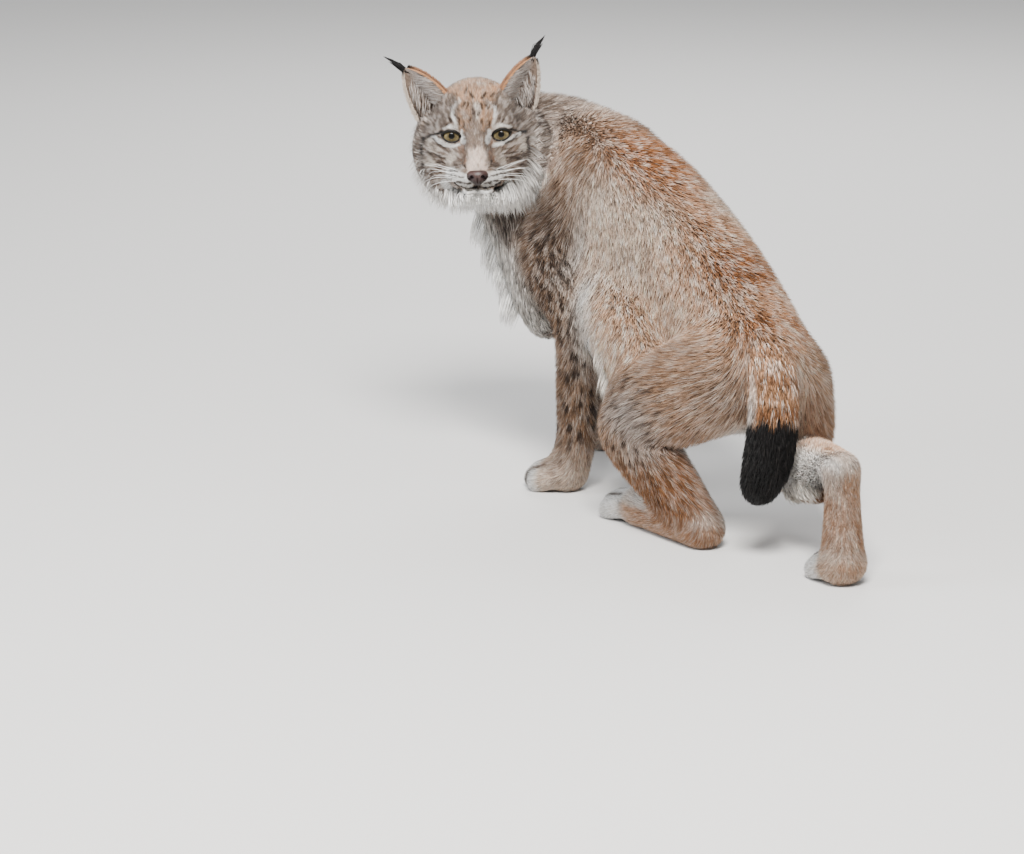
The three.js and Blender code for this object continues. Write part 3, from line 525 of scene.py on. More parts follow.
def almond_field(local, side):
    """Below zero inside the opening between one eye's lids, for points in the head's axes."""
    u, v = ((local - eye_centre(side))[:, :2]).T
    u = u * side
    tilt = EYE_OPENING["tilt"]
    u, v = u * np.cos(tilt) + v * np.sin(tilt), -u * np.sin(tilt) + v * np.cos(tilt)
    half = EYE_OPENING["half"]
    d = np.full(len(u), -FAR)
    for height, way in ((EYE_OPENING["upper"], 1), (EYE_OPENING["lower"], -1)):
        radius = (half**2 + height**2) / (2 * height)
        d = np.maximum(d, np.hypot(u, v - way * (height - radius)) - radius)
    return np.maximum(d, EYE_DEPTH - local[:, 2])

# %% [markdown]
# All fields are joined on one grid. Then the openings between the lids and the seam between the
# lips are cut out, and the soles are cut flat just over the floor. Boolean cuts on meshes would
# give the same, but fail more often.

# %% The skin
GRID = [grid_stops(-290, 345, 520, 620), grid_stops(-130, 75, 275, 280),
        grid_stops(-2, 368, 560, 570)]
SOLES_UP = 0.6
HEAD_REACH = 90
LID_BLEND = 5
lids = both(lambda s: Lump("head", eye_centre(s), [EYE_RADIUS + EYE_LID] * 3, LID_BLEND, 0))
skin_parts = body_parts + head_parts + lids
field = field_on_grid(skin_parts, GRID)
field = np.maximum(field, (FLOOR_AT + SOLES_UP - GRID[2])[None, None, :])
by_head = tuple(slice(*np.searchsorted(a, [at - HEAD_REACH, at + HEAD_REACH]))
                for a, at in zip(GRID, EYES_AT))
places, shape = grid_points([a[c] for a, c in zip(GRID, by_head)])
local = to_head(places)
for side in (-1, 1):
    opening = almond_field(local, side).reshape(shape)
    field[by_head] = np.maximum(field[by_head], -opening)
seam = seam_cut.distance(on_head(local)).reshape(shape)
field[by_head] = np.maximum(field[by_head], -seam)
skin_points, skin_faces = surface_nets(GRID, field)
skin_points = eased(skin_points, skin_faces)
skin_normals = normals_at(skin_points, skin_faces)
print("skin", len(skin_points), "points", len(skin_faces), "faces")

# %% [markdown]
# ## Where the hair points
# Hair lies one way on each part: back along the trunk, down the legs, away from the nose on the
# face. Each part gives its own way, and near a join the nearest parts share it by how close they
# are, so the lie turns smoothly, as it does on the animal.

# %% A survey of the skin
NOSE_TIP = on_head([0, -50, 44])
HEAD_MIDDLE = np.array([0, -5, -60.0])
PAIRS = ("flank", "foreleg", "hindleg", "instep", "forepaw", "hindpaw")
CHART_NAMES = ["trunk", "neck", "throat", "head", "nape", "ruff",
               *[pair + side for pair in PAIRS for side in ("_left", "_right")], "tail"]
CHART_COLUMNS = 5
CHART_ROWS = 4
# how far the hair of each part sags under its own weight
HANG = {"trunk": 0.35, "flank_left": 0.5, "flank_right": 0.5, "neck": 0.5, "throat": 0.2}
SHARED_WITHIN = 8
SHARE_LIMITS = (-30, 80)
NEAR_ENOUGH = 40


def by_part(table):
    """A row for each of CHART_NAMES, from a table that gives left and right only once."""
    return np.array([table[name.replace("_left", "").replace("_right", "")] for name in CHART_NAMES])


def chart_of(index, place):
    """Each part has its own rectangle of the chart, so no two parts share a spot on it."""
    corner = np.array([index % CHART_COLUMNS, index // CHART_COLUMNS])
    return (corner + np.clip(place, 0.02, 0.98)) / [CHART_COLUMNS, CHART_ROWS]


def survey(points):
    """The lie of the hair, the coat's depth, each part's share and the chart at each point."""
    best = np.full(len(points), FAR)
    lie = np.zeros((len(points), 3))
    depth = np.zeros(len(points))
    shares = np.zeros((len(points), len(CHART_NAMES)))
    chart = np.zeros((len(points), 2))
    for part in body_parts + head_parts:
        within = (points > part.low - NEAR_ENOUGH) & (points < part.high + NEAR_ENOUGH)
        near = np.nonzero(np.all(within, axis=1))[0]
        if not len(near):
            continue
        here = points[near]
        d, stop = part.distance(here, details=True)
        if isinstance(part, Limb):
            way, coat = part.at_stop(stop)
            k = np.clip(stop.astype(int), 0, len(part.a) - 1)
            q = here - part.a[k, :3]
            turn = np.arctan2((q * part.over[k]).sum(1), (q * part.across[k]).sum(1))
            place = np.stack([turn / (2 * np.pi) + 0.5, stop / len(part.a)], 1)
        else:
            way, coat = np.zeros_like(here), np.full(len(here), part.coat)
        if part.name in ("head", "ruff"):
            way = unit(here - NOSE_TIP)
            q = to_head(here) - HEAD_MIDDLE
            place = np.stack([np.arctan2(q[:, 0], q[:, 2]) / (2 * np.pi) + 0.5,
                              np.arcsin(unit(q)[:, 1]) / np.pi + 0.5], 1)
        way = way - UP * HANG.get(part.name, 0)
        w = np.exp(-np.clip(d, *SHARE_LIMITS) / SHARED_WITHIN)
        index = CHART_NAMES.index(part.name)
        lie[near] += way * w[:, None]
        depth[near] += coat * w
        shares[near, index] += w
        closer = d < best[near]
        best[near[closer]] = d[closer]
        chart[near[closer]] = chart_of(index, place[closer])
    total = np.maximum(shares.sum(1), 1e-9)
    return unit(lie), depth / total, shares / total[:, None], chart

# %% [markdown]
# Fur is never one even colour. Smooth noise drawn out along the hair gives streaks, and soft dots
# drawn out the same way give flecks and spots. A material's noise textures could do this, but a
# tuft needs one colour, at its root. It is worked out in space, so no seam shows, and each use has
# a seed, so every run gives the same coat.

# %% Noise, streaks and spots
TABLE_SIZE = 4096
FLECK_EDGE = 0.12


def table_spot(spot):
    """A place in a table of random numbers for each corner of a lattice, well scattered."""
    scattered = spot[:, 0] * 73856093 ^ spot[:, 1] * 19349663 ^ spot[:, 2] * 83492791
    return scattered & (TABLE_SIZE - 1)


def value_noise(points, size, seed):
    """Smooth noise from 0 to 1, with features about size millimetres across."""
    table = np.random.default_rng(seed).random(TABLE_SIZE)
    q = points / size
    base = np.floor(q).astype(np.int64)
    f = q - base
    f = f * f * (3 - 2 * f)
    total = np.zeros(len(points))
    for corner in range(8):
        step = np.array([(corner >> n) & 1 for n in range(3)])
        share = np.prod(np.where(step == 1, f, 1 - f), axis=1)
        total += table[table_spot(base + step)] * share
    return total


def flecks(points, size, seed, radius):
    """1 in the middle of scattered rounded spots, falling to 0 at their edges."""
    jitter = np.random.default_rng(seed).random((TABLE_SIZE, 3))
    q = points / size
    base = np.floor(q).astype(np.int64)
    best = np.full(len(points), 9.0)
    for corner in range(27):
        spot = base + np.array([corner % 3, corner // 3 % 3, corner // 9]) - 1
        best = np.minimum(best, np.linalg.norm(q - spot - jitter[table_spot(spot)], axis=1))
    return np.clip((radius - best) / FLECK_EDGE + 0.5, 0, 1)


def streaks(points, lie, size, half_length, seed, contrast=3.0):
    """Noise from 0 to 1, drawn out along the lie of the hair."""
    steps = np.linspace(-half_length, half_length, 5)
    mean = sum(value_noise(points + lie * s, size, seed) for s in steps) / len(steps)
    return np.clip((mean - 0.5) * contrast + 0.5, 0, 1)


def spots(points, lie, size, half_length, seed, radius):
    """Scattered spots, drawn out along the lie of the hair."""
    steps = (-half_length, 0, half_length)
    return np.max([flecks(points + lie * s, size, seed, radius) for s in steps], axis=0)

# %% [markdown]
# ## The coat's colours
# A eurasian lynx is rufous along the back, greyer on neck and legs, white below, with dark flecks
# that stretch along the hair. Colour is worked out at each hair's root from where it is on the
# animal, so the markings are the same from every side, and nothing is painted from a camera.

# %% Colours
RUFOUS = np.array([0.36, 0.14, 0.048])
TAN = np.array([0.49, 0.275, 0.15])
BEIGE = np.array([0.74, 0.53, 0.40])
ORANGE = np.array([0.52, 0.26, 0.12])
GREYBROWN = np.array([0.22, 0.165, 0.13])
ASH = np.array([0.55, 0.51, 0.48])
TAUPE = np.array([0.30, 0.215, 0.165])
PALE = np.array([0.68, 0.60, 0.51])
WHITE = np.array([0.88, 0.86, 0.82])
# a dark brown that stands for painted shade
SHADE_BROWN = np.array([0.10, 0.072, 0.058])
PINK = np.array([0.80, 0.62, 0.52])
UMBER = np.array([0.035, 0.020, 0.013])
BLACK = np.array([0.005, 0.004, 0.004])
TONE_LIMITS = (0.004, 0.95)


def mix(a, b, share):
    """A share of colour b laid over colour a."""
    share = np.asarray(share)[..., None]
    return a * (1 - share) + b * share


def rise(x, start, end):
    """0 before start, 1 after end, with a soft turn between."""
    t = np.clip((x - start) / (end - start), 0, 1)
    return t * t * (3 - 2 * t)

# %% [markdown]
# Soft patches of colour lie in space, the same on both sides of the spine: rufous over the
# withers, the loin and the root of the tail, grey on shoulder and knee, white along the flank's edge.
# Dark brown patches on the shoulder, the upper foreleg and beside the knee are painted shade.

# %% Patches on the body
SPINE_AT = -8
PATCH_GAIN = 1.25
# each is a centre, how far it reaches along each axis, its colour and how strong it is
PATCHES = [
    ([386, 12, 501], [60, 60, 60], GREYBROWN, 0.3), ([280, 0, 466], [66, 58, 50], RUFOUS, 0.85),
    ([230, -4, 440], [80, 50, 42], RUFOUS, 0.7), ([130, -8, 392], [70, 40, 30], RUFOUS, 0.4),
    ([60, -14, 350], [56, 56, 42], mix(RUFOUS, UMBER, 0.2), 0.95),
    ([-24, 30, 296], [34, 44, 34], RUFOUS, 0.75),
    ([285, 72, 404], [45, 40, 36], PALE, 0.5), ([201, 46, 390], [45, 40, 30], PALE, 0.4),
    ([226, 76, 335], [55, 40, 45], PALE, 0.4), ([323, 98, 332], [18, 40, 46], WHITE, 0.6),
    ([280, 112, 275], [20, 40, 42], WHITE, 0.75), ([262, 108, 212], [24, 40, 40], WHITE, 0.75),
    # the dark brown patches on shoulder, upper foreleg and knee are painted shade
    ([371, 113, 352], [45, 50, 45], SHADE_BROWN, 0.5), ([338, 116, 300], [30, 45, 40], SHADE_BROWN, 0.5),
    ([383, 121, 254], [50, 50, 40], SHADE_BROWN, 0.4), ([49, 94, 268], [50, 45, 45], TAN, 0.55),
    ([61, 131, 218], [45, 45, 35], TAN, 0.45), ([-14, 103, 231], [50, 50, 45], TAN, 0.5),
    ([119, 148, 190], [42, 45, 32], SHADE_BROWN, 0.45), ([92, 148, 160], [34, 45, 26], ASH, 0.55),
    ([67, 140, 125], [32, 40, 26], ASH, 0.5), ([20, 95, 95], [42, 50, 55], RUFOUS, 0.6),
    ([-39, 89, 208], [36, 45, 40], TAUPE, 0.5),
]


def patched(points, tone):
    """The body's colour with its soft patches laid over it."""
    mirrored = points * [1, -1, 1] + [0, 2 * SPINE_AT, 0]
    for centre, reach, patch, strength in PATCHES:
        share = np.max([np.exp(-(((p - centre) / reach) ** 2).sum(1))
                        for p in (points, mirrored)], axis=0)
        tone = mix(tone, patch, np.clip(share * PATCH_GAIN, 0, 1) * strength)
    return tone

# %% [markdown]
# The face's markings were measured in millimetres from between the eyes. Each is a soft stroke
# along a broken line: its half width, its colour, how strong it is, and its lines.

# %% Marks on the face
FACE_MARKS = {
    "forehead": (9, mix(TAN, GREYBROWN, 0.3), 0.6, [
        [[-15, 13], [-15, 46], [-8, 58]], [[13, 13], [13, 46], [7, 58]]]),
    "crown": (9, mix(TAN, BEIGE, 0.2), 0.6, [[[-25, 63], [-2, 73], [23, 65]], [[-18, 52], [16, 52]]]),
    "ear roots": (5, ORANGE, 0.7, [[[-37, 61], [-43, 68]], [[25, 63], [33, 68]]]),
    "pale arcs": (1.9, WHITE, 0.5, [
        [[-27, 12], [-31, 25], [-30, 36], [-21, 46]], [[22, 12], [25, 25], [23, 37], [14, 45]]]),
    "middle of the forehead": (1.6, PALE, 0.5, [[[1, 20], [0, 33], [1, 43]]]),
    "forehead flecks": (1.3, UMBER, 0.9, [
        [[-22, 13], [-24, 23]], [[-17, 10], [-15, 15]], [[-8, 13], [-8, 22]], [[7, 12], [7, 20]],
        [[16, 11], [17, 17]], [[-13, 35], [-10, 42]], [[-18, 38], [-15, 42]], [[8, 35], [7, 42]],
        [[15, 35], [12, 40]], [[-5, 50], [-8, 56]], [[7, 48], [12, 55]], [[-15, 55], [-12, 61]],
        [[18, 51], [23, 55]], [[-3, 26], [-4, 33]], [[3, 24], [4, 30]]]),
    "brow spots": (1.5, UMBER, 0.85, [
        [[-37, 22], [-33, 17]], [[30, 25], [34, 17]], [[-41, 14], [-38, 13]], [[37, 20], [33, 17]]]),
    "over the eyes": (1.9, WHITE, 0.55, [
        [[-42, 9], [-33, 11], [-27, 8]], [[25, 12], [35, 13], [45, 11]]]),
    "bridge": (9, TAUPE * 0.85, 0.85, [[[-2, 10], [-2, -3], [-2, -18]]]),
    "nose": (13.5, PINK, 0.89, [[[1, -31], [1, -37], [2, -44]]]),
    "smudge": (1.8, UMBER, 0.45, [[[-2, -15], [-2, -20]]]),
    "nose sides": (4.2, mix(RUFOUS, TAUPE, 0.6), 0.8, [
        [[-21, -11], [-18, -22], [-17, -36]], [[19, -12], [20, -22], [21, -34]]]),
    "nose borders": (1.1, UMBER, 0.85, [
        [[-18, -33], [-17, -41], [-13, -46]], [[20, -34], [19, -42], [16, -46]]]),
    "inner corners": (2.4, WHITE, 0.95, [
        [[-19, 4], [-17, -4], [-16, -11]], [[17, 4], [15, -4], [14, -11]]]),
    "under the eyes": (2.5, WHITE, 0.95, [
        [[-56, -2], [-50, -7], [-41, -13], [-32, -15], [-23, -13]],
        [[22, -15], [33, -12], [42, -7], [49, -2], [56, 2]]]),
    "pale cheeks": (5, PALE, 0.6, [
        [[-60, -10], [-53, -18]], [[-66, -28], [-58, -38]], [[60, -7], [61, -15]]]),
    "cheek lines": (1.0, UMBER, 0.9, [
        [[-57, -3], [-51, -11], [-40, -17]], [[-64, -22], [-55, -25], [-46, -30], [-38, -33]],
        [[-42, -37], [-51, -36]], [[54, 1], [47, -6], [38, -11]],
        [[35, -25], [46, -25], [56, -21], [64, -23]], [[38, -30], [48, -30], [58, -32]],
        [[37, -19], [47, -18]]]),
    "muzzle sides": (4.5, PALE, 0.5, [
        [[-30, -26], [-35, -36], [-38, -48]], [[27, -24], [33, -35], [38, -47]]]),
    "whisker pads": (7.5, WHITE, 0.9, [
        [[-33, -51], [-22, -60], [-10, -63]], [[33, -51], [23, -59], [13, -63]]]),
    "rows on the pads": (0.8, UMBER, 0.92, [
        [[-35, -48], [-32, -49]], [[-29, -49], [-24, -51]], [[-34, -55], [-26, -57]],
        [[-23, -58], [-16, -59]], [[-29, -63], [-18, -65]], [[-16, -66], [-6, -66]],
        [[23, -48], [26, -49]], [[29, -47], [32, -47]], [[17, -58], [25, -55]],
        [[27, -54], [38, -53]], [[11, -66], [20, -65]], [[22, -64], [33, -60]]]),
    "chin": (7, WHITE, 0.97, [[[-15, -81], [18, -81]]]),
    "lip corners": (4.5, WHITE, 0.95, [
        [[-20, -79], [-33, -73], [-42, -63]], [[22, -79], [35, -73], [43, -62]]]),
    "lips": (0.8, BLACK, 1, [
        [[1, -64], [1, -70], [-11, -72.5], [-20, -69.5], [-29, -65]],
        [[1, -70], [15, -71.5], [24, -68.5], [32, -64]]]),
    "lid lines": (1.3, BLACK, 1, [
        [[-44, 4], [-52, 2], [-61, -1], [-69, -5]], [[44, 8], [51, 6], [65, 4]]]),
    "cheek edges": (1.2, BLACK, 0.8, [
        [[-69, -5], [-71, -20], [-70, -33], [-69, -47]], [[65, 4], [67, -10], [68, -25], [66, -43]]]),
}

# %% [markdown]
# The marks could be painted on a picture and wrapped round the head, but would blur where it is
# stretched. Here every tuft asks how far its root is from each stroke. A stroke's edges are as
# ragged as the hair, and a weak mark is broken up by the coat's streaks.

# %% Strokes laid on the face
MARKS_LEAN = 0.05
FACE_FRONT = (-78, -48)
RAGGED = 1.5
RAGGED_SIZE = 2.6
RAGGED_SEEDS = (41, 42)
FULL_STRENGTH = 0.9


def on_marks_plane(local):
    """Head millimetres to the upright plane in which the face's marks were measured."""
    x, y = local[:, 0], local[:, 1]
    c, s = np.cos(FACE_TILT), np.sin(FACE_TILT)
    return np.stack([x * c - y * s, x * s + y * c - MARKS_LEAN * local[:, 2]], 1)


def stroke_share(plane, line, half_width):
    """1 inside a soft-edged stroke along a broken line."""
    best = np.full(len(plane), FAR)
    for a, b in zip(line[:-1], line[1:]):
        a, b = np.array(a, float), np.array(b, float)
        t = np.clip(((plane - a) @ (b - a)) / max((b - a) @ (b - a), 1e-9), 0, 1)
        best = np.minimum(best, np.linalg.norm(plane - a - t[:, None] * (b - a), axis=1))
    return 1 - rise(best, half_width * 0.7, half_width * 1.25 + 0.5)


def marked_face(local, tone, fine, of_face):
    """The coat's colour with the marks of the face laid over it, where the coat is the face's."""
    front = rise(local[:, 2], *FACE_FRONT) * of_face
    picked = np.nonzero(front > 0)[0]
    plane = on_marks_plane(local[picked])
    # the marks' edges are as ragged as the hair that carries them
    ragged = [value_noise(local[picked], RAGGED_SIZE, seed) - 0.5 for seed in RAGGED_SEEDS]
    plane = plane + 2 * RAGGED * np.stack(ragged, 1)
    face = tone[picked]
    for half_width, mark, strength, lines in FACE_MARKS.values():
        share = np.max([stroke_share(plane, line, half_width) for line in lines], axis=0)
        broken = 0.2 + 1.5 * fine[picked] if strength < FULL_STRENGTH else 1
        face = mix(face, mark, np.clip(share * strength * front[picked] * broken, 0, 1))
    tone[picked] = face
    return tone

# %% [markdown]
# ## The colour of the coat anywhere
# Parts of the coat differ in their grain: how strong the white tips, the dark tips, the small
# flecks and the large spots are, and how light the hair is as a whole. The dark tips stand for
# dark ticking and for painted shade between clumps, and the lightness is partly the hair's own and
# partly painted shade and painted light. Tables keep the numbers side by side, so that one part is
# easy to tune against the next.

# %% Grain, lightness and painted shade of each part
GRAIN = by_part({
    "trunk": (0.5, 0.5, 0.12, 0), "flank": (0.7, 0.5, 0.12, 0), "neck": (0.45, 0.5, 0.35, 0.15),
    "nape": (0.45, 0.5, 0.3, 0), "throat": (0.15, 0.4, 0.3, 0.3), "foreleg": (0.3, 0.4, 0.3, 0.95),
    "hindleg": (0.35, 0.4, 0.2, 0), "instep": (0.25, 0.2, 0.1, 0), "forepaw": (0.2, 0.15, 0.2, 0),
    "hindpaw": (0.1, 0.1, 0, 0), "tail": (0.35, 0.35, 0, 0), "head": (0.42, 0.55, 0.1, 0),
    "ruff": (0.35, 0.55, 0, 0),
})
# how light each part is, partly its own tone: face, ruff, throat and forelegs are darkened with painted
# shade, and trunk and flank are lightened with painted light
LIGHTNESS_AND_SHADE = by_part({
    "trunk": 1.05, "flank": 1.12, "neck": 0.85, "nape": 0.88, "throat": 0.72, "foreleg": 0.72,
    "hindleg": 0.88, "instep": 0.9, "forepaw": 1, "hindpaw": 1.1, "tail": 0.8, "head": 0.68,
    "ruff": 0.66,
})


def share_of(shares, *groups):
    """How much of each place belongs to the named parts."""
    return shares[:, [CHART_NAMES.index(group) for group in groups]].sum(1)


print("grain and lightness for", len(GRAIN), "parts")

# %% [markdown]
# The legs are tan and grey-brown outside and white inside, and the toes are white, with painted
# shade in the gaps between them.
# Every colour is a mix of named ones. How much of each depends on height, on the way the skin faces
# and on noise, in soft steps, so no line between two colours looks cut.

# %% Legs and paws
TOE_GAPS = (-18, 0, 18)
TOE_GAP_WIDTH = (1.2, 4)
WHITE_WITHIN = 0.4


def paw_colour(points, paw, back, white_from, fine, broad):
    """A paw's back, its white toes and painted shade in the gaps between them."""
    ball, toes = (np.array(place, float) for place in PAWS[paw])
    along = unit((toes - ball) * [1, 1, 0])
    ahead = (points - ball) @ along / np.linalg.norm(toes - ball)
    aside = (points - ball) @ np.cross(UP, along)
    white = rise(ahead + 0.3 * (broad - 0.5), white_from, white_from + WHITE_WITHIN)
    tone = mix(mix(back, PALE, 0.25 + 0.3 * fine), WHITE, white)
    # painted shade: nearly black in the gaps between the toes
    gap = np.max([1 - rise(np.abs(aside - at), *TOE_GAP_WIDTH) for at in TOE_GAPS], axis=0)
    return mix(tone, UMBER, gap * rise(ahead, 0.3, 0.6) * 0.95)


def leg_colours(points, normals, fine, broad):
    """A colour for each part of the four legs at every point."""
    z = points[:, 2]
    tones = {}
    for side, word in ((1, "left"), (-1, "right")):
        inner = rise(-side * normals[:, 1], 0.25, 0.85)
        fore = mix(mix(GREYBROWN, TAN, 0.45 + 0.35 * broad), PALE, inner * 0.6 * rise(z, 60, 120))
        tones["foreleg_" + word] = mix(fore, BEIGE, 1 - rise(z, 45, 90))
        hind = mix(mix(TAN, BEIGE, 0.7 * broad), mix(RUFOUS, TAN, 0.4), (1 - rise(z, 70, 160)) * 0.8)
        tones["hindleg_" + word] = mix(hind, WHITE, inner * 0.9)
        instep = mix(mix(RUFOUS, TAN, 0.5), BEIGE, 0.5 * fine)
        tones["instep_" + word] = mix(instep, WHITE, rise(normals[:, 2], 0.1, 0.6) * 0.85)
        for paw, back, white_from in (("forepaw_", BEIGE, 0.6), ("hindpaw_", mix(ORANGE, BEIGE, 0.5), 0)):
            tones[paw + word] = paw_colour(points, paw + word, back, white_from, fine, broad)
    return tones


print("toe gaps at", TOE_GAPS, "mm")

# %% [markdown]
# The tail has faint bars and a pale edge. The throat is darkened behind with painted shade and is
# white in front and under the chin, and the ruff is grey above and white below.

# %% Tail, throat and head
PALE_SIDE = np.array([0.5, 0.866, 0])
BAR_SPACING = 5.2


def tail_colour(z, normals, broad):
    """The tail's bars and its pale edge."""
    bars = rise(0.5 + 0.5 * np.sin(z / BAR_SPACING + 2 * broad), 0.5, 0.9)
    tail = mix(mix(TAN, RUFOUS, 0.35), mix(RUFOUS, UMBER, 0.45), bars * 0.85)
    return mix(tail, WHITE, rise(normals @ PALE_SIDE, 0.7, 0.98) * 0.6)


def throat_colour(z, normals, neck, broad):
    """Darkened with painted shade behind, white in front and under the chin."""
    edge = normals @ PALE_SIDE + 0.45 * (1 - rise(z, 255, 330))
    white = np.max([rise(edge, 0.6, 0.95), rise(normals[:, 0], 0.4, 0.85), rise(z, 380, 412)], axis=0)
    # painted shade darkens the throat behind
    return mix(mix(neck, SHADE_BROWN, 0.45), mix(WHITE, PALE, 0.3 * broad), white)


def head_colours(local, broad):
    """The colour of the head, warmer on the crown and behind, and the colour of the ruff."""
    head = mix(mix(ASH, GREYBROWN, 0.76), TAN, 0.12 + 0.25 * broad + 0.3 * rise(-local[:, 2], 40, 90))
    head = mix(head, TAN, 0.65 * rise(local[:, 1], 44, 62) * (1 - rise(np.abs(local[:, 0]), 30, 50)))
    return head, mix(mix(ASH, GREYBROWN, 0.8), WHITE, rise(-local[:, 1], 35, 72))


print("bars on the tail every", round(2 * np.pi * BAR_SPACING), "mm")

# %% [markdown]
# The grain lies over the plain colours: pale tips, dark tips, small flecks on the back, rows of
# spots on the forelegs and a cluster of them on the knee. The dark tips are darker copies of the
# coat's colour, for dark ticking and for painted shade between clumps. All of it is drawn out
# along the hair.

# %% The grain of the coat
KNEE = ([90, 150, 160], [50, 60, 55])
TIPS_FROM = (0.52, 0.95)
TAIL_HAIR_FALLS = 26


def grained(tone, points, lie, shares, fine, of_face):
    """The coat's colour with its tips, flecks, spots and the black end of the tail."""
    z = points[:, 2]
    grain = shares @ GRAIN
    coarse, close = streaks(points, lie, 3.8, 5, 6), streaks(points, lie, 3, 4, 7, 3.6)
    tipping = coarse * (1 - of_face) + close * of_face
    warm_tip = mix(mix(WHITE, BEIGE, 0.5), mix(WHITE, BEIGE, 0.25), of_face)
    tone = mix(tone, warm_tip, grain[:, 0] * rise(tipping, *TIPS_FROM))
    # dark tips: dark ticking and painted shade between clumps
    tone = mix(tone, tone * 0.25, grain[:, 1] * rise(1 - tipping, *TIPS_FROM))
    tone = mix(tone, UMBER, grain[:, 2] * spots(points, lie, 11, 2.5, 11, 0.24))
    high_enough = rise(z, 50, 95) * (1 - rise(z, 330, 400))
    tone = mix(tone, UMBER, grain[:, 3] * spots(points, lie, 12, 3, 12, 0.3) * high_enough)
    knee = np.exp(-(((points - KNEE[0]) / KNEE[1]) ** 2).sum(1))
    tone = mix(tone, UMBER, np.clip(knee * 2.2, 0, 0.9) * spots(points, lie, 10, 1.5, 13, 0.29))
    black = rise(TAIL_BLACK_BELOW + TAIL_HAIR_FALLS + 9 * (fine - 0.5) - z, -3, 4)
    return mix(tone, BLACK, black * rise(share_of(shares, "tail"), 0.3, 0.6))


print("knee spots round", KNEE[0])

# %% [markdown]
# Each part gives its colour to every point, and the survey's shares blend them, so colours melt
# into each other where parts do. Patches, grain and the marks of the face follow in that order,
# because each lies over the one before.

# %% All colours together
BROAD_SIZE = 46
BROAD_SEED = 3


def coat_colour(points, normals, lie, shares):
    """The colour of the hair at points on the skin."""
    z = points[:, 2]
    local = to_head(points)
    facing_up = normals[:, 2]
    broad = value_noise(points, BROAD_SIZE, BROAD_SEED)
    fine = streaks(points, lie, 4, 6, 5)
    up = rise(facing_up + 0.3 * (broad - 0.5), -0.1, 0.9)
    flank = mix(BEIGE, TAN, 0.15 + 0.65 * up)
    neck = mix(mix(ASH, GREYBROWN, 0.65), TAN, 0.25 * up)
    groups = {"trunk": flank, "flank_left": flank, "flank_right": flank, "neck": neck, "nape": neck}
    groups.update(leg_colours(points, normals, fine, broad))
    body = sum(tone * share_of(shares, group)[:, None] for group, tone in groups.items())
    whole = share_of(shares, *groups)
    body = patched(points, body / np.maximum(whole, 1e-6)[:, None])
    belly = share_of(shares, "trunk", "flank_left", "flank_right")
    body = mix(body, WHITE, rise(-facing_up, 0.35, 0.8) * rise(z, 90, 150) * belly)

    head, ruff = head_colours(local, broad)
    throat, tail = throat_colour(z, normals, neck, broad), tail_colour(z, normals, broad)
    out = body * whole[:, None]
    for group, tone in {"throat": throat, "tail": tail, "head": head, "ruff": ruff}.items():
        out = out + tone * share_of(shares, group)[:, None]
    of_face = share_of(shares, "head", "ruff")
    # each part's lightness, partly painted shade and painted light, scales its colour
    out = grained(out * (shares @ LIGHTNESS_AND_SHADE)[:, None], points, lie, shares, fine, of_face)
    return marked_face(local, out, fine, of_face)

# %% [markdown]
# The survey's answers change abruptly where one part ends and the next begins. Easing them over the
# mesh turns the hair gently from one way into the next, as hair does that grows on one skin.

# %% The survey eased
skin_lie, skin_depth, skin_shares, skin_chart = survey(skin_points)
EASE_LIE = 70
EASE_DEPTH = 4
EASE_SHARES = 12
skin_lie = unit(eased(skin_lie, skin_faces, EASE_LIE))
skin_depth = eased(skin_depth[:, None], skin_faces, EASE_DEPTH)[:, 0]
skin_shares = eased(skin_shares, skin_faces, EASE_SHARES)
skin_name = skin_shares.argmax(1)
skin_colour = coat_colour(skin_points, skin_normals, skin_lie, skin_shares)
print("surveyed; coat is", skin_depth.min().round(1), "to", skin_depth.max().round(1), "mm deep")

# %% [markdown]
# ## Materials
# Fur takes its colour from the survey and adds fine variation of its own. Its sheen, gloss and
# roughness are plain constants on the shader.

# %% Material helpers
def new_material(name, roughness, **sockets):
    """A material, its node tree and its shader, with plain numbers on the shader's sockets."""
    made = bpy.data.materials.new(name)
    made.use_nodes = True
    shader = made.node_tree.nodes["Principled BSDF"]
    shader.inputs["Roughness"].default_value = roughness
    for key, value in sockets.items():
        shader.inputs[key.replace("_", " ")].default_value = value
    return made, made.node_tree, shader


def node(tree, kind, **values):
    """A new shader node with some of its properties set."""
    made = tree.nodes.new("ShaderNode" + kind)
    for key, value in values.items():
        setattr(made, key, value)
    return made


def add_bump(tree, shader, texture, strength, distance):
    """Fine relief from a texture. It only changes how light falls, not the shape."""
    bump = node(tree, "Bump")
    bump.inputs["Strength"].default_value = strength
    bump.inputs["Distance"].default_value = distance
    tree.links.new(texture.outputs[0], bump.inputs["Height"])
    tree.links.new(bump.outputs["Normal"], shader.inputs["Normal"])


def noise(tree, scale, detail=2.0):
    """A noise texture; a larger scale is a finer grain."""
    made = node(tree, "TexNoise")
    made.inputs["Scale"].default_value = scale
    made.inputs["Detail"].default_value = detail
    return made


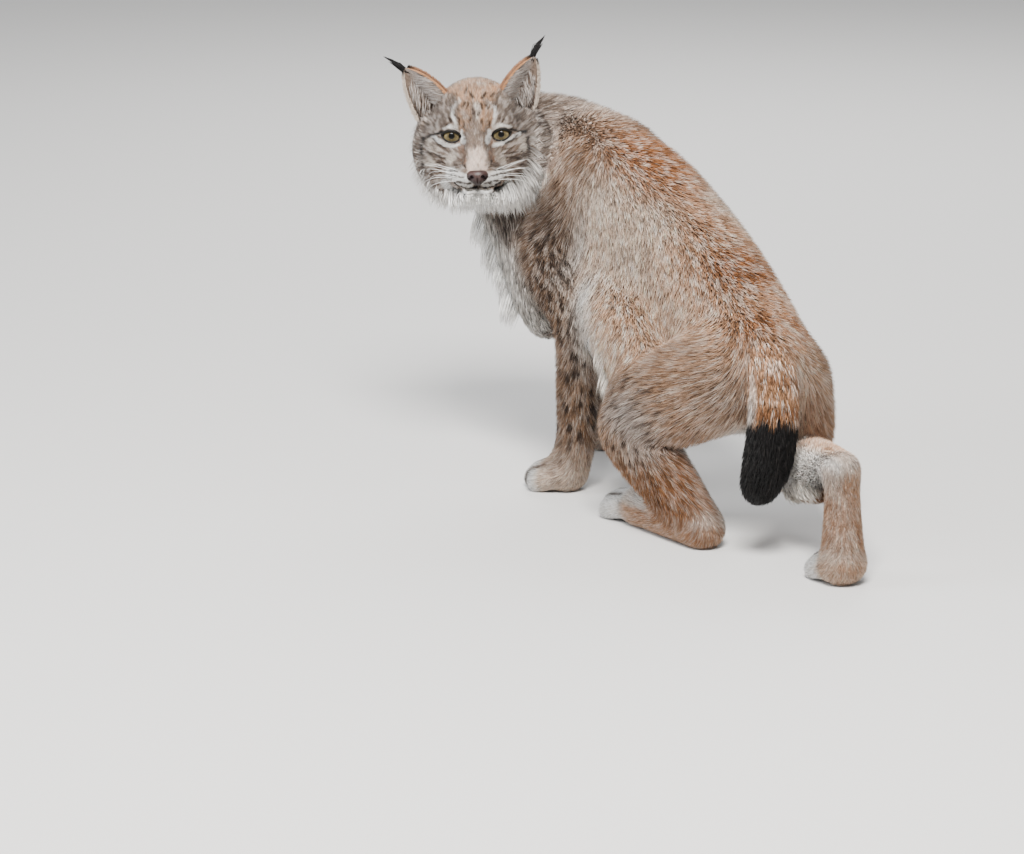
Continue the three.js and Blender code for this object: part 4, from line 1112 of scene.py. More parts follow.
def coloured_material(name, roughness, vary=0.12, scale=300, bump=(0.2, 0.0005), **sockets):
    """A material whose colour is the piece's own, made a little lighter and darker by noise."""
    made, tree, shader = new_material(name, roughness, **sockets)
    colour = node(tree, "Attribute", attribute_name="Coat")
    grain = noise(tree, scale)
    place = node(tree, "TexCoord")
    tree.links.new(place.outputs["Object"], grain.inputs["Vector"])
    span = node(tree, "MapRange")
    span.inputs["To Min"].default_value = 1 - vary
    span.inputs["To Max"].default_value = 1 + vary
    tree.links.new(grain.outputs["Fac"], span.inputs["Value"])
    blend = node(tree, "VectorMath", operation="SCALE")
    tree.links.new(colour.outputs["Color"], blend.inputs[0])
    tree.links.new(span.outputs["Result"], blend.inputs["Scale"])
    tree.links.new(blend.outputs["Vector"], shader.inputs["Base Color"])
    add_bump(tree, shader, grain, *bump)
    return made


FUR = coloured_material("fur", 0.7, Sheen_Weight=0.04, Sheen_Roughness=0.5, Specular_IOR_Level=0.15)
SKIN = coloured_material("under_skin", 0.8, Specular_IOR_Level=0.2)


def finish_piece(piece, material, slot, *nodes):
    """Gives a piece its material, hides the CAD nodes that it stands for and hangs it from the root."""
    piece.data.materials.append(material)
    if nodes:
        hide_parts(*nodes)
    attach(piece, "root")
    return piece

# %% [markdown]
# The skin shows between the tufts, where on the animal woolly underfur lies in shade. So it takes
# the coat's own colours, only darker. It is one piece that stands for all the flesh of the CAD
# model.

# %% The skin piece
LEG_NODES = ("foreleg", "forepaw", "thigh", "shank", "hindpaw")
FLESH = ["head", "neck", "torso", *[leg + side for leg in LEG_NODES for side in ("_left", "_right")],
         "tail", "tail_tip"]
UNDER_COAT = 0.6
skin = new_piece("skin", skin_points, skin_faces, skin_colour * UNDER_COAT, skin_chart)
finish_piece(skin, SKIN, "coat_rufous", *FLESH)
print("skin stands for", len(FLESH), "CAD nodes")

# %% [markdown]
# ## A coat of tufts
# Real fur is millions of hairs that clump. A tuft stands for one clump: a thin three-sided spike,
# rooted just under the skin, bent over along the lie. Particle hair would be quicker to make, but
# only a mesh keeps its shape in the exported model. Tufts are small on the face and long behind.

# %% Tufts
from mathutils.bvhtree import BVHTree

skin_tree = BVHTree.FromPolygons(skin_points.tolist(), triangles_of(skin_faces).tolist())


def lifted(points, heights):
    """Points moved to stand at given heights over the skin."""
    out = points.copy()
    for i, (p, h) in enumerate(zip(points.tolist(), heights.tolist())):
        spot, normal, _, _ = skin_tree.find_nearest(p)
        if spot is not None:
            out[i] = [spot[0] + normal[0] * h, spot[1] + normal[1] * h, spot[2] + normal[2] * h]
    return out


print("a tree over", len(skin_faces), "faces of the skin")

# %% [markdown]
# All tufts of a piece are built at once, as arrays, because there are so many. Three sides are
# enough for a spike this thin. Each has its own speck of the chart, to be baked in its own colour.

# %% Spikes
CHART_SPECK = 0.003
SPIKE_SIDES = 3


def spikes(curve, widths, colours, chart):
    """Closed tapered spikes along curves of rows x stations x 3 points, pointed at the far end."""
    sides = SPIKE_SIDES
    count, stations = curve.shape[:2]
    steps = np.diff(curve, axis=1)
    ways = unit(np.concatenate([steps, steps[:, -1:]], 1))
    seed = np.where(np.abs(ways[:, :1, 2:3]) > 0.9, LEFT, UP)
    across = unit(np.cross(ways, seed))
    over = np.cross(ways, across)
    turn = np.arange(sides) * 2 * np.pi / sides + np.pi / 2
    rings = stations - 1
    ring = (curve[:, :rings, None] + widths[:, :rings, None, None] / 2
            * (across[:, :rings, None] * np.cos(turn)[None, None, :, None]
               + over[:, :rings, None] * np.sin(turn)[None, None, :, None]))
    points = np.concatenate([ring.reshape(count, rings * sides, 3), curve[:, -1:]], 1)
    per = rings * sides + 1
    faces = [[0, 2, 1]]
    for r in range(rings - 1):
        for c in range(sides):
            p, q = r * sides + c, r * sides + (c + 1) % sides
            faces += [[p, q, q + sides], [p, q + sides, p + sides]]
    last = (rings - 1) * sides
    faces += [[last + c, last + (c + 1) % sides, per - 1] for c in range(sides)]
    faces = (np.array(faces)[None] + (np.arange(count) * per)[:, None, None]).reshape(-1, 3)
    tone = np.concatenate([np.repeat(colours[:, :rings], sides, axis=1), colours[:, -1:]], 1)
    layout = [[0.5 + 0.5 * np.cos(t), 0.8 * r / stations + 0.1 * (1 + np.sin(t))]
              for r in range(rings) for t in turn] + [[0.5, 1.0]]
    patch = (chart[:, None] + np.array(layout)[None] * CHART_SPECK).reshape(-1, 2)
    return points.reshape(-1, 3), faces, tone.reshape(-1, 3), patch

# %% [markdown]
# Hair differs from part to part: short and dense on face and paws, longer on the back, longest on
# throat and tail. The table says how dense the tufts are, how wide and how long in millimetres, and
# whether they bend once or twice. A piece groups the parts that share a slot.

# %% Coat regions
COAT = {
    "trunk": (0.36, 1.7, 24, 1), "flank": (0.36, 1.7, 25, 1), "neck": (0.46, 1.5, 21, 1),
    "nape": (0.5, 1.4, 20, 1), "throat": (0.3, 1.6, 32, 2), "head": (0.62, 1.15, 9.5, 1),
    "ruff": (0.6, 1.2, 23, 2), "foreleg": (0.5, 1.4, 14, 1), "hindleg": (0.42, 1.6, 18, 1),
    "instep": (0.7, 1.2, 9, 1), "forepaw": (0.8, 1.1, 7, 1), "hindpaw": (0.8, 1.1, 7, 1),
    "tail": (0.34, 1.5, 24, 2),
}
REGION = by_part(COAT)
PIECES = {
    "coat_trunk": (["trunk", "flank_left", "flank_right"], "coat_rufous"),
    "coat_neck": (["neck", "nape"], "coat_grey"),
    "coat_throat": (["throat"], "coat_pale"),
    "coat_ruff": (["ruff"], "coat_pale"),
    "coat_face": (["head"], "coat_grey"),
    "coat_forelegs": (["foreleg_left", "foreleg_right", "forepaw_left", "forepaw_right"], "coat_grey"),
    "coat_hindleg_left": (["hindleg_left", "instep_left", "hindpaw_left"], "coat_rufous"),
    "coat_hindleg_right": (["hindleg_right", "instep_right", "hindpaw_right"], "coat_rufous"),
    "coat_tail": (["tail"], "coat_rufous"),
}
TUFTS_WANTED = 262000
MOST_FACES = 190000
print(len(PIECES), "pieces of coat over", len(REGION), "parts")

# %% [markdown]
# Roots are scattered over the skin by area, so large and small faces are covered alike. None grow
# on soles and lips, in the openings of the eyes or under the nose pad. Every draw comes from one
# seeded source, in a fixed order, so the coat is the same each time.

# %% Roots
IN_FRONT = (-62, -22)
LIP_BARE = 1.6
EYE_BARE = 1.9
EYE_BEHIND = -30
NOSE_BARE = ([0, -55, 46], [13, 9.5, 14])
FACE_DENSER = 1.5
STRAY = 0.11
triangles = triangles_of(skin_faces)
corner_a, corner_b, corner_c = (skin_points[triangles[:, n]] for n in range(3))
areas = np.linalg.norm(np.cross(corner_b - corner_a, corner_c - corner_a), axis=1) / 2
middle = (corner_a + corner_b + corner_c) / 3
middle_local = to_head(middle)


def face_share(local):
    """1 on the front of the face, where hair is shortest, and 0 on the rest of the head."""
    return rise(local[:, 2], *IN_FRONT)


def from_the_mouth(local):
    """How far places are from the line of the mouth, seen from in front of the face."""
    line = mouth_seam[:, :2]
    best = np.full(len(local), FAR)
    for a, b in zip(line[:-1], line[1:]):
        t = np.clip(((local[:, :2] - a) @ (b - a)) / ((b - a) @ (b - a)), 0, 1)
        best = np.minimum(best, np.linalg.norm(local[:, :2] - a - t[:, None] * (b - a), axis=1))
    return np.where(local[:, 2] > 10, best, FAR)


def bare_skin(places, local):
    """No hair on the soles, in the eyes' openings or where the nose pad sits."""
    bare = places[:, 2] < FLOOR_AT + 2
    for side in (-1, 1):
        flat = local * [1, 1, 0]
        bare |= (almond_field(flat, side) < EYE_BARE) & (local[:, 2] > EYE_BEHIND)
    bare |= from_the_mouth(local) < LIP_BARE
    return bare | (np.linalg.norm((local - NOSE_BARE[0]) / NOSE_BARE[1], axis=1) < 1)


density = REGION[skin_name[triangles[:, 0]], 0]
is_head = skin_name[triangles[:, 0]] == CHART_NAMES.index("head")
density = density * (1 + FACE_DENSER * face_share(middle_local) * is_head)
wanted = np.where(bare_skin(middle, middle_local), 0, areas * density)
wanted *= TUFTS_WANTED / wanted.sum()
number = np.floor(wanted + chance.random(len(wanted))).astype(int)
host = np.repeat(np.arange(len(number)), number)
u, v = chance.random((2, len(host)))
flip = u + v > 1
u[flip], v[flip] = 1 - u[flip], 1 - v[flip]
corner_shares = np.stack([1 - u - v, u, v], 1)


def at_roots(values):
    """Values at the skin's vertices, blended to each root's own place."""
    return (values[triangles[host]] * corner_shares[:, :, None]).sum(1)


roots = at_roots(skin_points)
root_normal = unit(at_roots(skin_normals))
root_lie = unit(at_roots(skin_lie)) + chance.normal(0, STRAY, roots.shape)
root_lie = unit(root_lie - root_normal * (root_lie * root_normal).sum(1, keepdims=True))
root_depth = at_roots(skin_depth[:, None])[:, 0]
root_shares = at_roots(skin_shares)
root_name = skin_name[triangles[host, 0]]
root_chart = survey(roots)[3]
print(len(roots), "roots,", wanted.sum() / areas.sum(), "to a square mm")

# %% [markdown]
# A real coat is uneven. Each tuft is a little longer or shorter, higher or lower, lighter or darker
# than its neighbours, and a few are almost white or almost black. Tufts are cut short towards the
# lips and the eyes, where hair would cover them.

# %% Size and colour of each tuft
root_local = to_head(roots)
short = face_share(root_local) * (root_name == CHART_NAMES.index("head"))
on_chin = short * rise(-root_local[:, 1], 74, 80)
root_length = (root_shares @ REGION[:, 2]) * (1 - 0.5 * short + 0.7 * on_chin)
root_length *= chance.uniform(0.75, 1.15, len(roots))
mouth_height = np.interp(root_local[:, 0], mouth_seam[:, 0], mouth_seam[:, 1])
under_lip = root_local[:, 1] < mouth_height - 1
root_length *= np.where(under_lip, 1, np.clip(from_the_mouth(root_local) / 7, 0.3, 1))
by_the_eye = np.min([almond_field(root_local * [1, 1, 0], side) for side in (-1, 1)], axis=0)
root_length *= np.where(root_local[:, 2] > EYE_BEHIND, np.clip((by_the_eye - 1) / 8, 0.2, 1), 1)
root_width = (root_shares @ REGION[:, 1]) * (1 - 0.32 * short)
root_height = root_depth * chance.uniform(0.66, 1.04, len(roots))
# a tuft is seen by its outer half, so it takes the colour of the place that half covers
seen_at = roots + root_lie * (root_length * 0.5)[:, None]
tuft_colour = coat_colour(seen_at, root_normal, root_lie, root_shares)
tuft_colour = tuft_colour * np.exp(chance.normal(0, 0.28, (len(roots), 1)))
odd = chance.random(len(roots))
calm = 1 - 0.25 * short
furry = np.clip(tuft_colour.mean(1) * 8, 0, 1)
PALE_ONES = 0.88
DARK_ONES = 0.10
tuft_colour = mix(tuft_colour, mix(WHITE, BEIGE, 0.3), 0.45 * calm * furry * (odd > PALE_ONES))
tuft_colour = mix(tuft_colour, tuft_colour * 0.4, 0.7 * calm * (odd < DARK_ONES))
print("tufts are", root_length.min().round(1), "to", root_length.max().round(1), "mm long")

# %% [markdown]
# Each tuft starts a little below the skin, follows the lie, and ends at the height that the coat
# has there. Its tip is set by height over the skin and not by an angle, so tufts hug the body's
# curves. It is darker at the root, where less light reaches, than at the tip.

# %% Grow the coat
ROOT_SHADE = 0.45
BEND_SHADE = 0.9
TIP_SHADE = 1.15
ROOT_SUNK = 0.8
FLOOR_GAP = 0.3
BEND_FLOOR_GAP = 0.5
TRIANGLES = {1: 4, 2: 10}


def grow(name, chosen, bends, slot):
    """One piece of coat from the chosen roots."""
    r, n, d = roots[chosen], root_normal[chosen], root_lie[chosen]
    height, length, width = root_height[chosen], root_length[chosen], root_width[chosen]
    tone, none = tuft_colour[chosen], np.zeros(len(r))
    start = r - n * ROOT_SUNK
    tip = lifted(r + d * (length * 0.95)[:, None] + n * height[:, None], height)
    tip[:, 2] = np.maximum(tip[:, 2], FLOOR_AT + FLOOR_GAP)
    places, widths, tones = [start, tip], [width, none], [tone * ROOT_SHADE, tone * TIP_SHADE]
    if bends == 2:
        bend = lifted(r + d * (length * 0.42)[:, None] + n * (height * 0.6)[:, None], height * 0.7)
        bend[:, 2] = np.maximum(bend[:, 2], FLOOR_AT + BEND_FLOOR_GAP)
        places.insert(1, bend)
        widths.insert(1, width)
        tones.insert(1, tone * BEND_SHADE)
    tones = np.clip(np.stack(tones, 1), *TONE_LIMITS)
    curves, widths = np.stack(places, 1), np.stack(widths, 1)
    points, faces, colours, patch = spikes(curves, widths, tones, root_chart[chosen])
    finish_piece(new_piece(name, points, faces, colours, patch), FUR, slot)
    print(name, len(r), "tufts", len(faces), "triangles")
    return len(faces)


coat_triangles = 0
for name, (groups, slot) in PIECES.items():
    chosen = np.nonzero(np.isin(root_name, [CHART_NAMES.index(g) for g in groups]))[0]
    bends = int(max(REGION[CHART_NAMES.index(g), 3] for g in groups))
    parts = int(np.ceil(len(chosen) * TRIANGLES[bends] / MOST_FACES))
    chosen = chosen[np.argsort(roots[chosen, 0], kind="stable")]
    for i, part in enumerate(np.array_split(chosen, parts)):
        coat_triangles += grow(f"{name}_{i + 1}" if parts > 1 else name, part, bends, slot)
print("coat", coat_triangles, "triangles")

# %% [markdown]
# ## Ears
# A lynx's ear is a tapered shell, open forwards and outwards, with a black brush at its tip. Each
# is the CAD's own cup made again with many more rows, with short fur behind and soft hair inside.

# %% Ear cups
EAR = {"half": 31, "deep": 22, "turn": np.radians(74), "sunk": -0.3, "forward": 8}
EAR_SET = {
    "left": {"base": [54, 43, -42], "tip": [78, 103, -54], "brush": [0.36, 0.93, 0]},
    "right": {"base": [56, 40, -42], "tip": [90, 94, -54], "brush": [0.76, 0.65, 0]},
}
EAR_SIDES = {"left": 1, "right": -1}
EAR_ROWS = 44
EAR_COLUMNS = 40
EAR_OUTSIDE = 1.2
EAR_INSIDE = 3.0
EAR_SHADE = 0.75


def ear_axes(word):
    """An ear's base, its axis, its height, the way it opens and the way across it."""
    side = EAR_SIDES[word]
    base, tip = (on_head(np.array(EAR_SET[word][end]) * [side, 1, 1]) for end in ("base", "tip"))
    axis = unit(tip - base)
    opening = face_out + 0.45 * side * face_left
    opening = unit(opening - axis * (opening @ axis))
    return base, axis, np.linalg.norm(tip - base), opening, np.cross(axis, opening)


def ear_place(word, t, turn, inset):
    """A point on the ear: t runs from its base to its tip, turn goes round it."""
    base, axis, height, opening, across = ear_axes(word)
    t = np.asarray(t, float)[:, None]
    turn = np.asarray(turn, float)[:, None]
    left_over = np.clip(1 - t, 0, 2)
    half = np.maximum(EAR["half"] * left_over ** 0.72 * (1 + 0.5 * t) - inset, 0.8)
    deep = np.maximum(EAR["deep"] * left_over ** 0.6 - inset, 0.6)
    return (base + axis * height * t + across * half * np.sin(turn)
            + opening * (EAR["forward"] - deep * np.cos(turn)))


def ear_sheet(word, inset, top):
    """Points, faces, t and turn of one side of the shell."""
    t, c = np.meshgrid(np.linspace(EAR["sunk"], top, EAR_ROWS + 1),
                       np.linspace(-1, 1, EAR_COLUMNS + 1), indexing="ij")
    t, c = t.ravel(), c.ravel()
    r, k = np.meshgrid(np.arange(EAR_ROWS), np.arange(EAR_COLUMNS), indexing="ij")
    a = (r * (EAR_COLUMNS + 1) + k).ravel()
    faces = np.stack([a, a + EAR_COLUMNS + 1, a + EAR_COLUMNS + 2, a + 1], 1)
    return ear_place(word, t, c * EAR["turn"], inset), faces, t, c


def ear_colour(t, inward, inside):
    """inward runs from -1 on the outer rim to 1 on the rim nearest the crown."""
    if not inside:
        behind = mix(mix(RUFOUS, GREYBROWN, 0.45), ASH, 1 - rise(np.abs(inward), 0.2, 0.6))
        behind = mix(behind, mix(PALE, TAUPE, 0.4), rise(-inward, 0.6, 0.9))
        return mix(behind, BLACK, rise(t, 0.8, 0.95))
    cup = mix(np.tile(TAUPE * 0.55, (len(t), 1)), ASH * 0.8, rise(inward, -0.5, 0.4) * 0.4)
    # painted shadow: the cup darkens towards its foot and its outer side
    cup = mix(cup, UMBER, (1 - rise(t, 0.05, 0.42)) * (1 - rise(inward, -0.1, 0.5)) * 0.9)
    cup = mix(cup, ORANGE, rise(inward, 0.86, 0.97))
    return mix(cup, mix(PALE, TAUPE, 0.4), rise(-inward, 0.9, 0.98) * 0.9)


def ear_shell(word):
    """The shell of one ear: a sheet outside, a sheet inside, and a rim that joins them."""
    side = EAR_SIDES[word]
    outer, inner = ear_sheet(word, EAR_OUTSIDE, 0.96), ear_sheet(word, EAR_INSIDE, 0.93)
    shift, top = len(outer[0]), EAR_ROWS * (EAR_COLUMNS + 1)
    rim = []
    for k in range(EAR_COLUMNS):
        rim += [[k, k + 1, shift + k + 1, shift + k],
                [top + k + 1, top + k, shift + top + k, shift + top + k + 1]]
    for r in range(EAR_ROWS):
        a, b = r * (EAR_COLUMNS + 1), (r + 1) * (EAR_COLUMNS + 1)
        c, d = a + EAR_COLUMNS, b + EAR_COLUMNS
        rim += [[b, a, shift + a, shift + b], [c, d, shift + d, shift + c]]
    faces = np.concatenate([outer[1], inner[1][:, ::-1] + shift, np.array(rim)])
    colour = np.concatenate([ear_colour(outer[2], -side * outer[3], False),
                             ear_colour(inner[2], -side * inner[3], True)])
    plan = np.concatenate([np.stack([sheet[3] * 0.2 + at, sheet[2] * 0.3 + 0.4], 1)
                           for sheet, at in ((outer, 0.25), (inner, 0.75))])
    points = np.concatenate([outer[0], inner[0]])
    piece = new_piece("ear_shell_" + word, points, faces, colour * EAR_SHADE, plan)
    return finish_piece(piece, SKIN, "coat_grey", "ear_" + word)


for word in EAR_SIDES:
    print("ear", word, len(ear_shell(word).data.polygons), "faces")

# %% [markdown]
# The ear's back has short dense fur. Inside, long grey hairs rise from the rim nearest the crown
# and sweep out over the hollow, whose foot is painted dark as painted shade. The black brush stands
# on the tip.

# %% Ear hair
EAR_COATS = [
    {"inside": False, "count": 5200, "length": 6, "width": 1.0, "from": -0.12, "to": 0.95},
    {"inside": True, "count": 3000, "length": 6, "width": 0.8, "from": -0.12, "to": 0.93},
    {"inside": True, "count": 1100, "length": 21, "width": 0.8, "from": -0.15, "to": 0.55},
]
# each lock of the brush leans outwards by so much, is so long and has so many hairs
BRUSH_LOCKS = [(0, 44, 110), (-0.12, 38, 60), (0.14, 36, 60)]
LONG_FROM = 10
FROM_INNER_RIM = 0.86
BRUSH_WIDTHS = [1.2, 1.0, 0]


def ear_coat(word, inside, count, length, width, **span):
    """Tufts over one side of the ear. The long ones inside sweep from the inner rim outwards."""
    side = EAR_SIDES[word]
    _, axis, _, opening, across = ear_axes(word)
    long_hair = length > LONG_FROM
    t = chance.uniform(span["from"], span["to"], count)
    inward = chance.uniform(-1, 1, count)
    if long_hair:
        inward = np.where(chance.random(count) < FROM_INNER_RIM, 1, -0.9) * chance.uniform(0.3, 0.97, count)
    turn = -side * inward * EAR["turn"]
    root = ear_place(word, t, turn, EAR_INSIDE if inside else EAR_OUTSIDE)
    out = unit(across * np.sin(turn)[:, None] - opening * np.cos(turn)[:, None]) * (-1 if inside else 1)
    way = axis + 0.25 * out
    if long_hair:
        way = axis * 0.75 + opening * 0.35 + side * across * np.sign(inward)[:, None] * 0.7
    way = unit(way + chance.normal(0, STRAY, root.shape))
    lengths = length * chance.uniform(0.7, 1.15, count) * (1 - 0.4 * np.clip(t, 0, 1))
    tone = ear_colour(t, inward, inside)
    if long_hair:
        pale = np.tile(mix(WHITE, ASH, 0.85), (count, 1))
        tone = mix(pale, GREYBROWN, chance.uniform(0.2, 1, count))
    tone = np.clip(tone * (1 + chance.normal(0, 0.12, (count, 1))), *TONE_LIMITS)
    widths = np.full(count, width)
    # each tuft is painted darker at its root and lighter at its tip, as painted shade and painted light
    return spikes(np.stack([root - out * 0.6, root + way * (lengths * 0.5)[:, None] + out * 1.2,
                            root + way * lengths[:, None] + out * 1.4], 1),
                  np.stack([widths, widths, widths * 0], 1),
                  np.stack([tone * 0.65, tone * 0.9, tone * 1.05], 1),
                  np.stack([turn / EAR["turn"] * 0.2 + (0.75 if inside else 0.25), t * 0.3 + 0.4], 1))


def ear_brush(word):
    """Long black hairs that leave the ear's tip together and close to a point."""
    side = EAR_SIDES[word]
    base, axis, height, opening, _ = ear_axes(word)
    outward = side * face_left
    brush = (np.array(EAR_SET[word]["brush"]) * [side, 1, 1]) @ FACE
    rows = []
    for i, (lean, length, count) in enumerate(BRUSH_LOCKS):
        way = unit(brush + outward * lean * 0.4)
        root = base + axis * height * (0.83 - 0.02 * i) + opening * (4.2 - 1.3 * i) + outward * 9 * lean
        start = root + chance.normal(0, 0.9, (count, 3)) + way * chance.uniform(4, 13, count)[:, None]
        lengths = length * chance.uniform(0.5, 0.8, (count, 1))
        ways = unit(way + chance.normal(0, 0.02, (count, 3)))
        bend = start + ways * lengths * 0.5
        reach = unit(way + 0.15 * outward) * (lengths + 0.2 * length)
        tip = root + reach + chance.normal(0, 0.5, (count, 3))
        tone = np.tile(BLACK, (count, 1))
        rows.append(spikes(np.stack([start, bend, tip], 1),
                           np.tile(BRUSH_WIDTHS, (count, 1)), np.stack([tone, tone, tone * 1.6], 1),
                           np.tile([0.5, 0.9], (count, 1))))
    return rows


for word in EAR_SIDES:
    rows = [ear_coat(word, **coat) for coat in EAR_COATS] + ear_brush(word)
    shift = np.cumsum([0] + [len(row[0]) for row in rows])
    faces = np.concatenate([row[1] + s for row, s in zip(rows, shift)])
    points, tones, plan = (np.concatenate([row[n] for row in rows]) for n in (0, 2, 3))
    finish_piece(new_piece("ear_hair_" + word, points, faces, tones, plan), FUR, "coat_grey")
    print("ear hair", word, len(faces), "triangles")

# %% [markdown]
# ## Eyes
# The eye is a ball, wet and glossy, with a small round pupil in an olive-yellow iris and a black
# rim. The colours are set on the rings of the ball round the way that the eye looks, and a dark
# lid margin follows the edge of the almond opening.

# %% Eyeballs
LOOKED_AT = np.array([-4860.0, 3176, 1705])
PUPIL = np.radians(17)
IRIS = np.radians(46)
EYE_RINGS = 60
EYE_COLUMNS = 64
IRIS_INNER = np.array([0.085, 0.066, 0.032])
IRIS_OUTER = np.array([0.17, 0.135, 0.07])
PUPIL_BLACK = [0.004, 0.004, 0.004]
EYE, eye_tree, eye_shader = new_material("eye_gloss", 0.12, Coat_Weight=0.2, Coat_Roughness=0.03,
                                         Specular_IOR_Level=0.05)
eye_colour = node(eye_tree, "Attribute", attribute_name="Coat")
eye_grain = noise(eye_tree, 900, 3)
eye_place = node(eye_tree, "TexCoord")
eye_tree.links.new(eye_place.outputs["Object"], eye_grain.inputs["Vector"])
eye_tree.links.new(eye_colour.outputs["Color"], eye_shader.inputs["Base Color"])
add_bump(eye_tree, eye_shader, eye_grain, 0.03, 0.0001)


def iris_colour(angle, turn):
    """Colour by the angle from the middle of the pupil and the turn round it."""
    ray = value_noise(np.stack([np.cos(turn) * 9, np.sin(turn) * 9, angle * 3], 1), 1, 21)
    tone = mix(np.tile(IRIS_INNER, (len(angle), 1)), IRIS_OUTER, rise(angle, PUPIL * 1.2, IRIS * 0.85))
    tone = tone * (0.72 + 0.5 * ray[:, None])
    tone = mix(tone, BLACK, rise(angle, IRIS * 0.88, IRIS * 1.02))
    past_pupil = rise(angle, PUPIL * 0.92, PUPIL * 1.06)
    return mix(np.tile(PUPIL_BLACK, (len(angle), 1)), tone, past_pupil)


for side, word in ((1, "left"), (-1, "right")):
    middle_of_eye = on_head(eye_centre(side))
    gaze = unit(LOOKED_AT - middle_of_eye)
    sideways = unit(np.cross(UP, gaze))
    upward = np.cross(gaze, sideways)
    angle = np.pi * (np.arange(EYE_RINGS + 1) / EYE_RINGS) ** 1.25
    turn = np.arange(EYE_COLUMNS) * 2 * np.pi / EYE_COLUMNS
    aa, tt = (g.ravel() for g in np.meshgrid(angle[1:-1], turn, indexing="ij"))
    ways = (gaze * np.cos(aa)[:, None] + (sideways * np.cos(tt)[:, None]
            + upward * np.sin(tt)[:, None]) * np.sin(aa)[:, None])
    points = middle_of_eye + EYE_RADIUS * np.concatenate([ways, [gaze, -gaze]])
    rings = EYE_RINGS - 1
    grid_id = np.arange(rings * EYE_COLUMNS).reshape(rings, EYE_COLUMNS)
    nxt = np.roll(grid_id, -1, axis=1)
    quads = np.stack([grid_id[:-1], grid_id[1:], nxt[1:], nxt[:-1]], -1).reshape(-1, 4)
    front, back = len(points) - 2, len(points) - 1
    caps = np.concatenate([np.stack([np.full(EYE_COLUMNS, front), grid_id[0], nxt[0]], 1),
                           np.stack([np.full(EYE_COLUMNS, back), nxt[-1], grid_id[-1]], 1)])
    angles, turns = np.concatenate([aa, [0, np.pi]]), np.concatenate([tt, [0, 0]])
    colour = iris_colour(angles, turns)
    plan = 0.5 + (0.45 * angles / np.pi)[:, None] * np.stack([np.cos(turns), np.sin(turns)], 1)
    eye = new_piece("eyeball_" + word, points, np.concatenate([triangles_of(quads), caps]), colour, plan)
    finish_piece(eye, EYE, "eye", "eye_" + word)
print("eyeballs", 2 * EYE_RADIUS, "mm across, pupils", round(np.degrees(2 * PUPIL)), "degrees wide")

# %% [markdown]
# Lid margins, the seam of the mouth and whiskers are thin round tubes along a line. Bevelled curves
# would do too, but the export keeps meshes, so the rings are laid out directly.

# %% Tubes
def tube(points, radii, sides=10):
    """Points and faces of a round tube along a line, closed at its ends."""
    points = np.asarray(points, float)
    ways = unit(np.gradient(points, axis=0))
    across = unit(np.cross(ways, face_out))
    over = np.cross(ways, across)
    turn = np.arange(sides) * 2 * np.pi / sides
    ring = (points[:, None] + np.asarray(radii)[:, None, None]
            * (across[:, None] * np.cos(turn)[None, :, None] + over[:, None] * np.sin(turn)[None, :, None]))
    count = len(points)
    ids = np.arange(count * sides).reshape(count, sides)
    nxt = np.roll(ids, -1, axis=1)
    quads = np.stack([ids[:-1], nxt[:-1], nxt[1:], ids[1:]], -1).reshape(-1, 4)
    every = np.concatenate([ring.reshape(-1, 3), points[:1], points[-1:]])
    start, end = count * sides, count * sides + 1
    caps = np.concatenate([np.stack([np.full(sides, start), nxt[0], ids[0]], 1),
                           np.stack([np.full(sides, end), ids[-1], nxt[-1]], 1)])
    return every, np.concatenate([triangles_of(quads), caps])


def joined(parts):
    """Points and faces of several meshes as one."""
    shift = np.cumsum([0] + [len(part[0]) for part in parts])
    return (np.concatenate([part[0] for part in parts]),
            np.concatenate([part[1] + s for part, s in zip(parts, shift)]))

# %% [markdown]
# The edge of a cat's lids is bare black skin, thicker above. It closes the gap between the eyeball
# and the cut edge of the skin. A tube along the opening's own almond follows that edge exactly.

# %% Lid margins
RIM = coloured_material("lid_margin", 0.5, vary=0.2, scale=900, Specular_IOR_Level=0.2)
LID_OVER = 0.4
LID_INSET = 1.2
LID_STOPS = 64
UPPER_RIM = 1.8
LOWER_RIM = 1.15
RIM_BLACK = [0.006, 0.005, 0.004]


def almond_edge(side):
    """Head points round the opening's edge, on the shell of the lids."""
    half, tilt = EYE_OPENING["half"], EYE_OPENING["tilt"]
    u = half * np.cos(np.linspace(0, 2 * np.pi, LID_STOPS + 1))
    way = np.where(np.arange(LID_STOPS + 1) <= LID_STOPS // 2, 1, -1)
    height = np.where(way > 0, EYE_OPENING["upper"], EYE_OPENING["lower"])
    radius = (half**2 + height**2) / (2 * height)
    v = way * (np.sqrt(np.maximum(radius**2 - u**2, 0)) - (radius - height))
    x, y = u * np.cos(tilt) - v * np.sin(tilt), u * np.sin(tilt) + v * np.cos(tilt)
    shell = EYE_RADIUS + EYE_LID - LID_INSET
    z = np.sqrt(np.maximum(shell**2 - x**2 - y**2, 1))
    return eye_centre(side) + np.stack([side * x, y, z + LID_OVER], 1)


rim_radii = np.where(np.arange(LID_STOPS + 1) <= LID_STOPS // 2, UPPER_RIM, LOWER_RIM)
rims = joined([tube(on_head(almond_edge(side)), rim_radii) for side in (1, -1)])
rim_piece = new_piece("lid_margins", *rims, np.tile(RIM_BLACK, (len(rims[0]), 1)),
                      0.5 + chance.random((len(rims[0]), 2)) * 0.1)
finish_piece(rim_piece, RIM, "coat_black")
print("lid margins", len(rims[1]), "triangles")

# %% [markdown]
# ## Nose and mouth
# The pad is bare, damp, finely pebbled skin with two comma-shaped nostrils. It is meshed from the
# same lumps as the CAD's pad on a fine grid, with the nostrils cut in. The closed mouth is a dark
# seam that runs down from the pad and out to both corners.

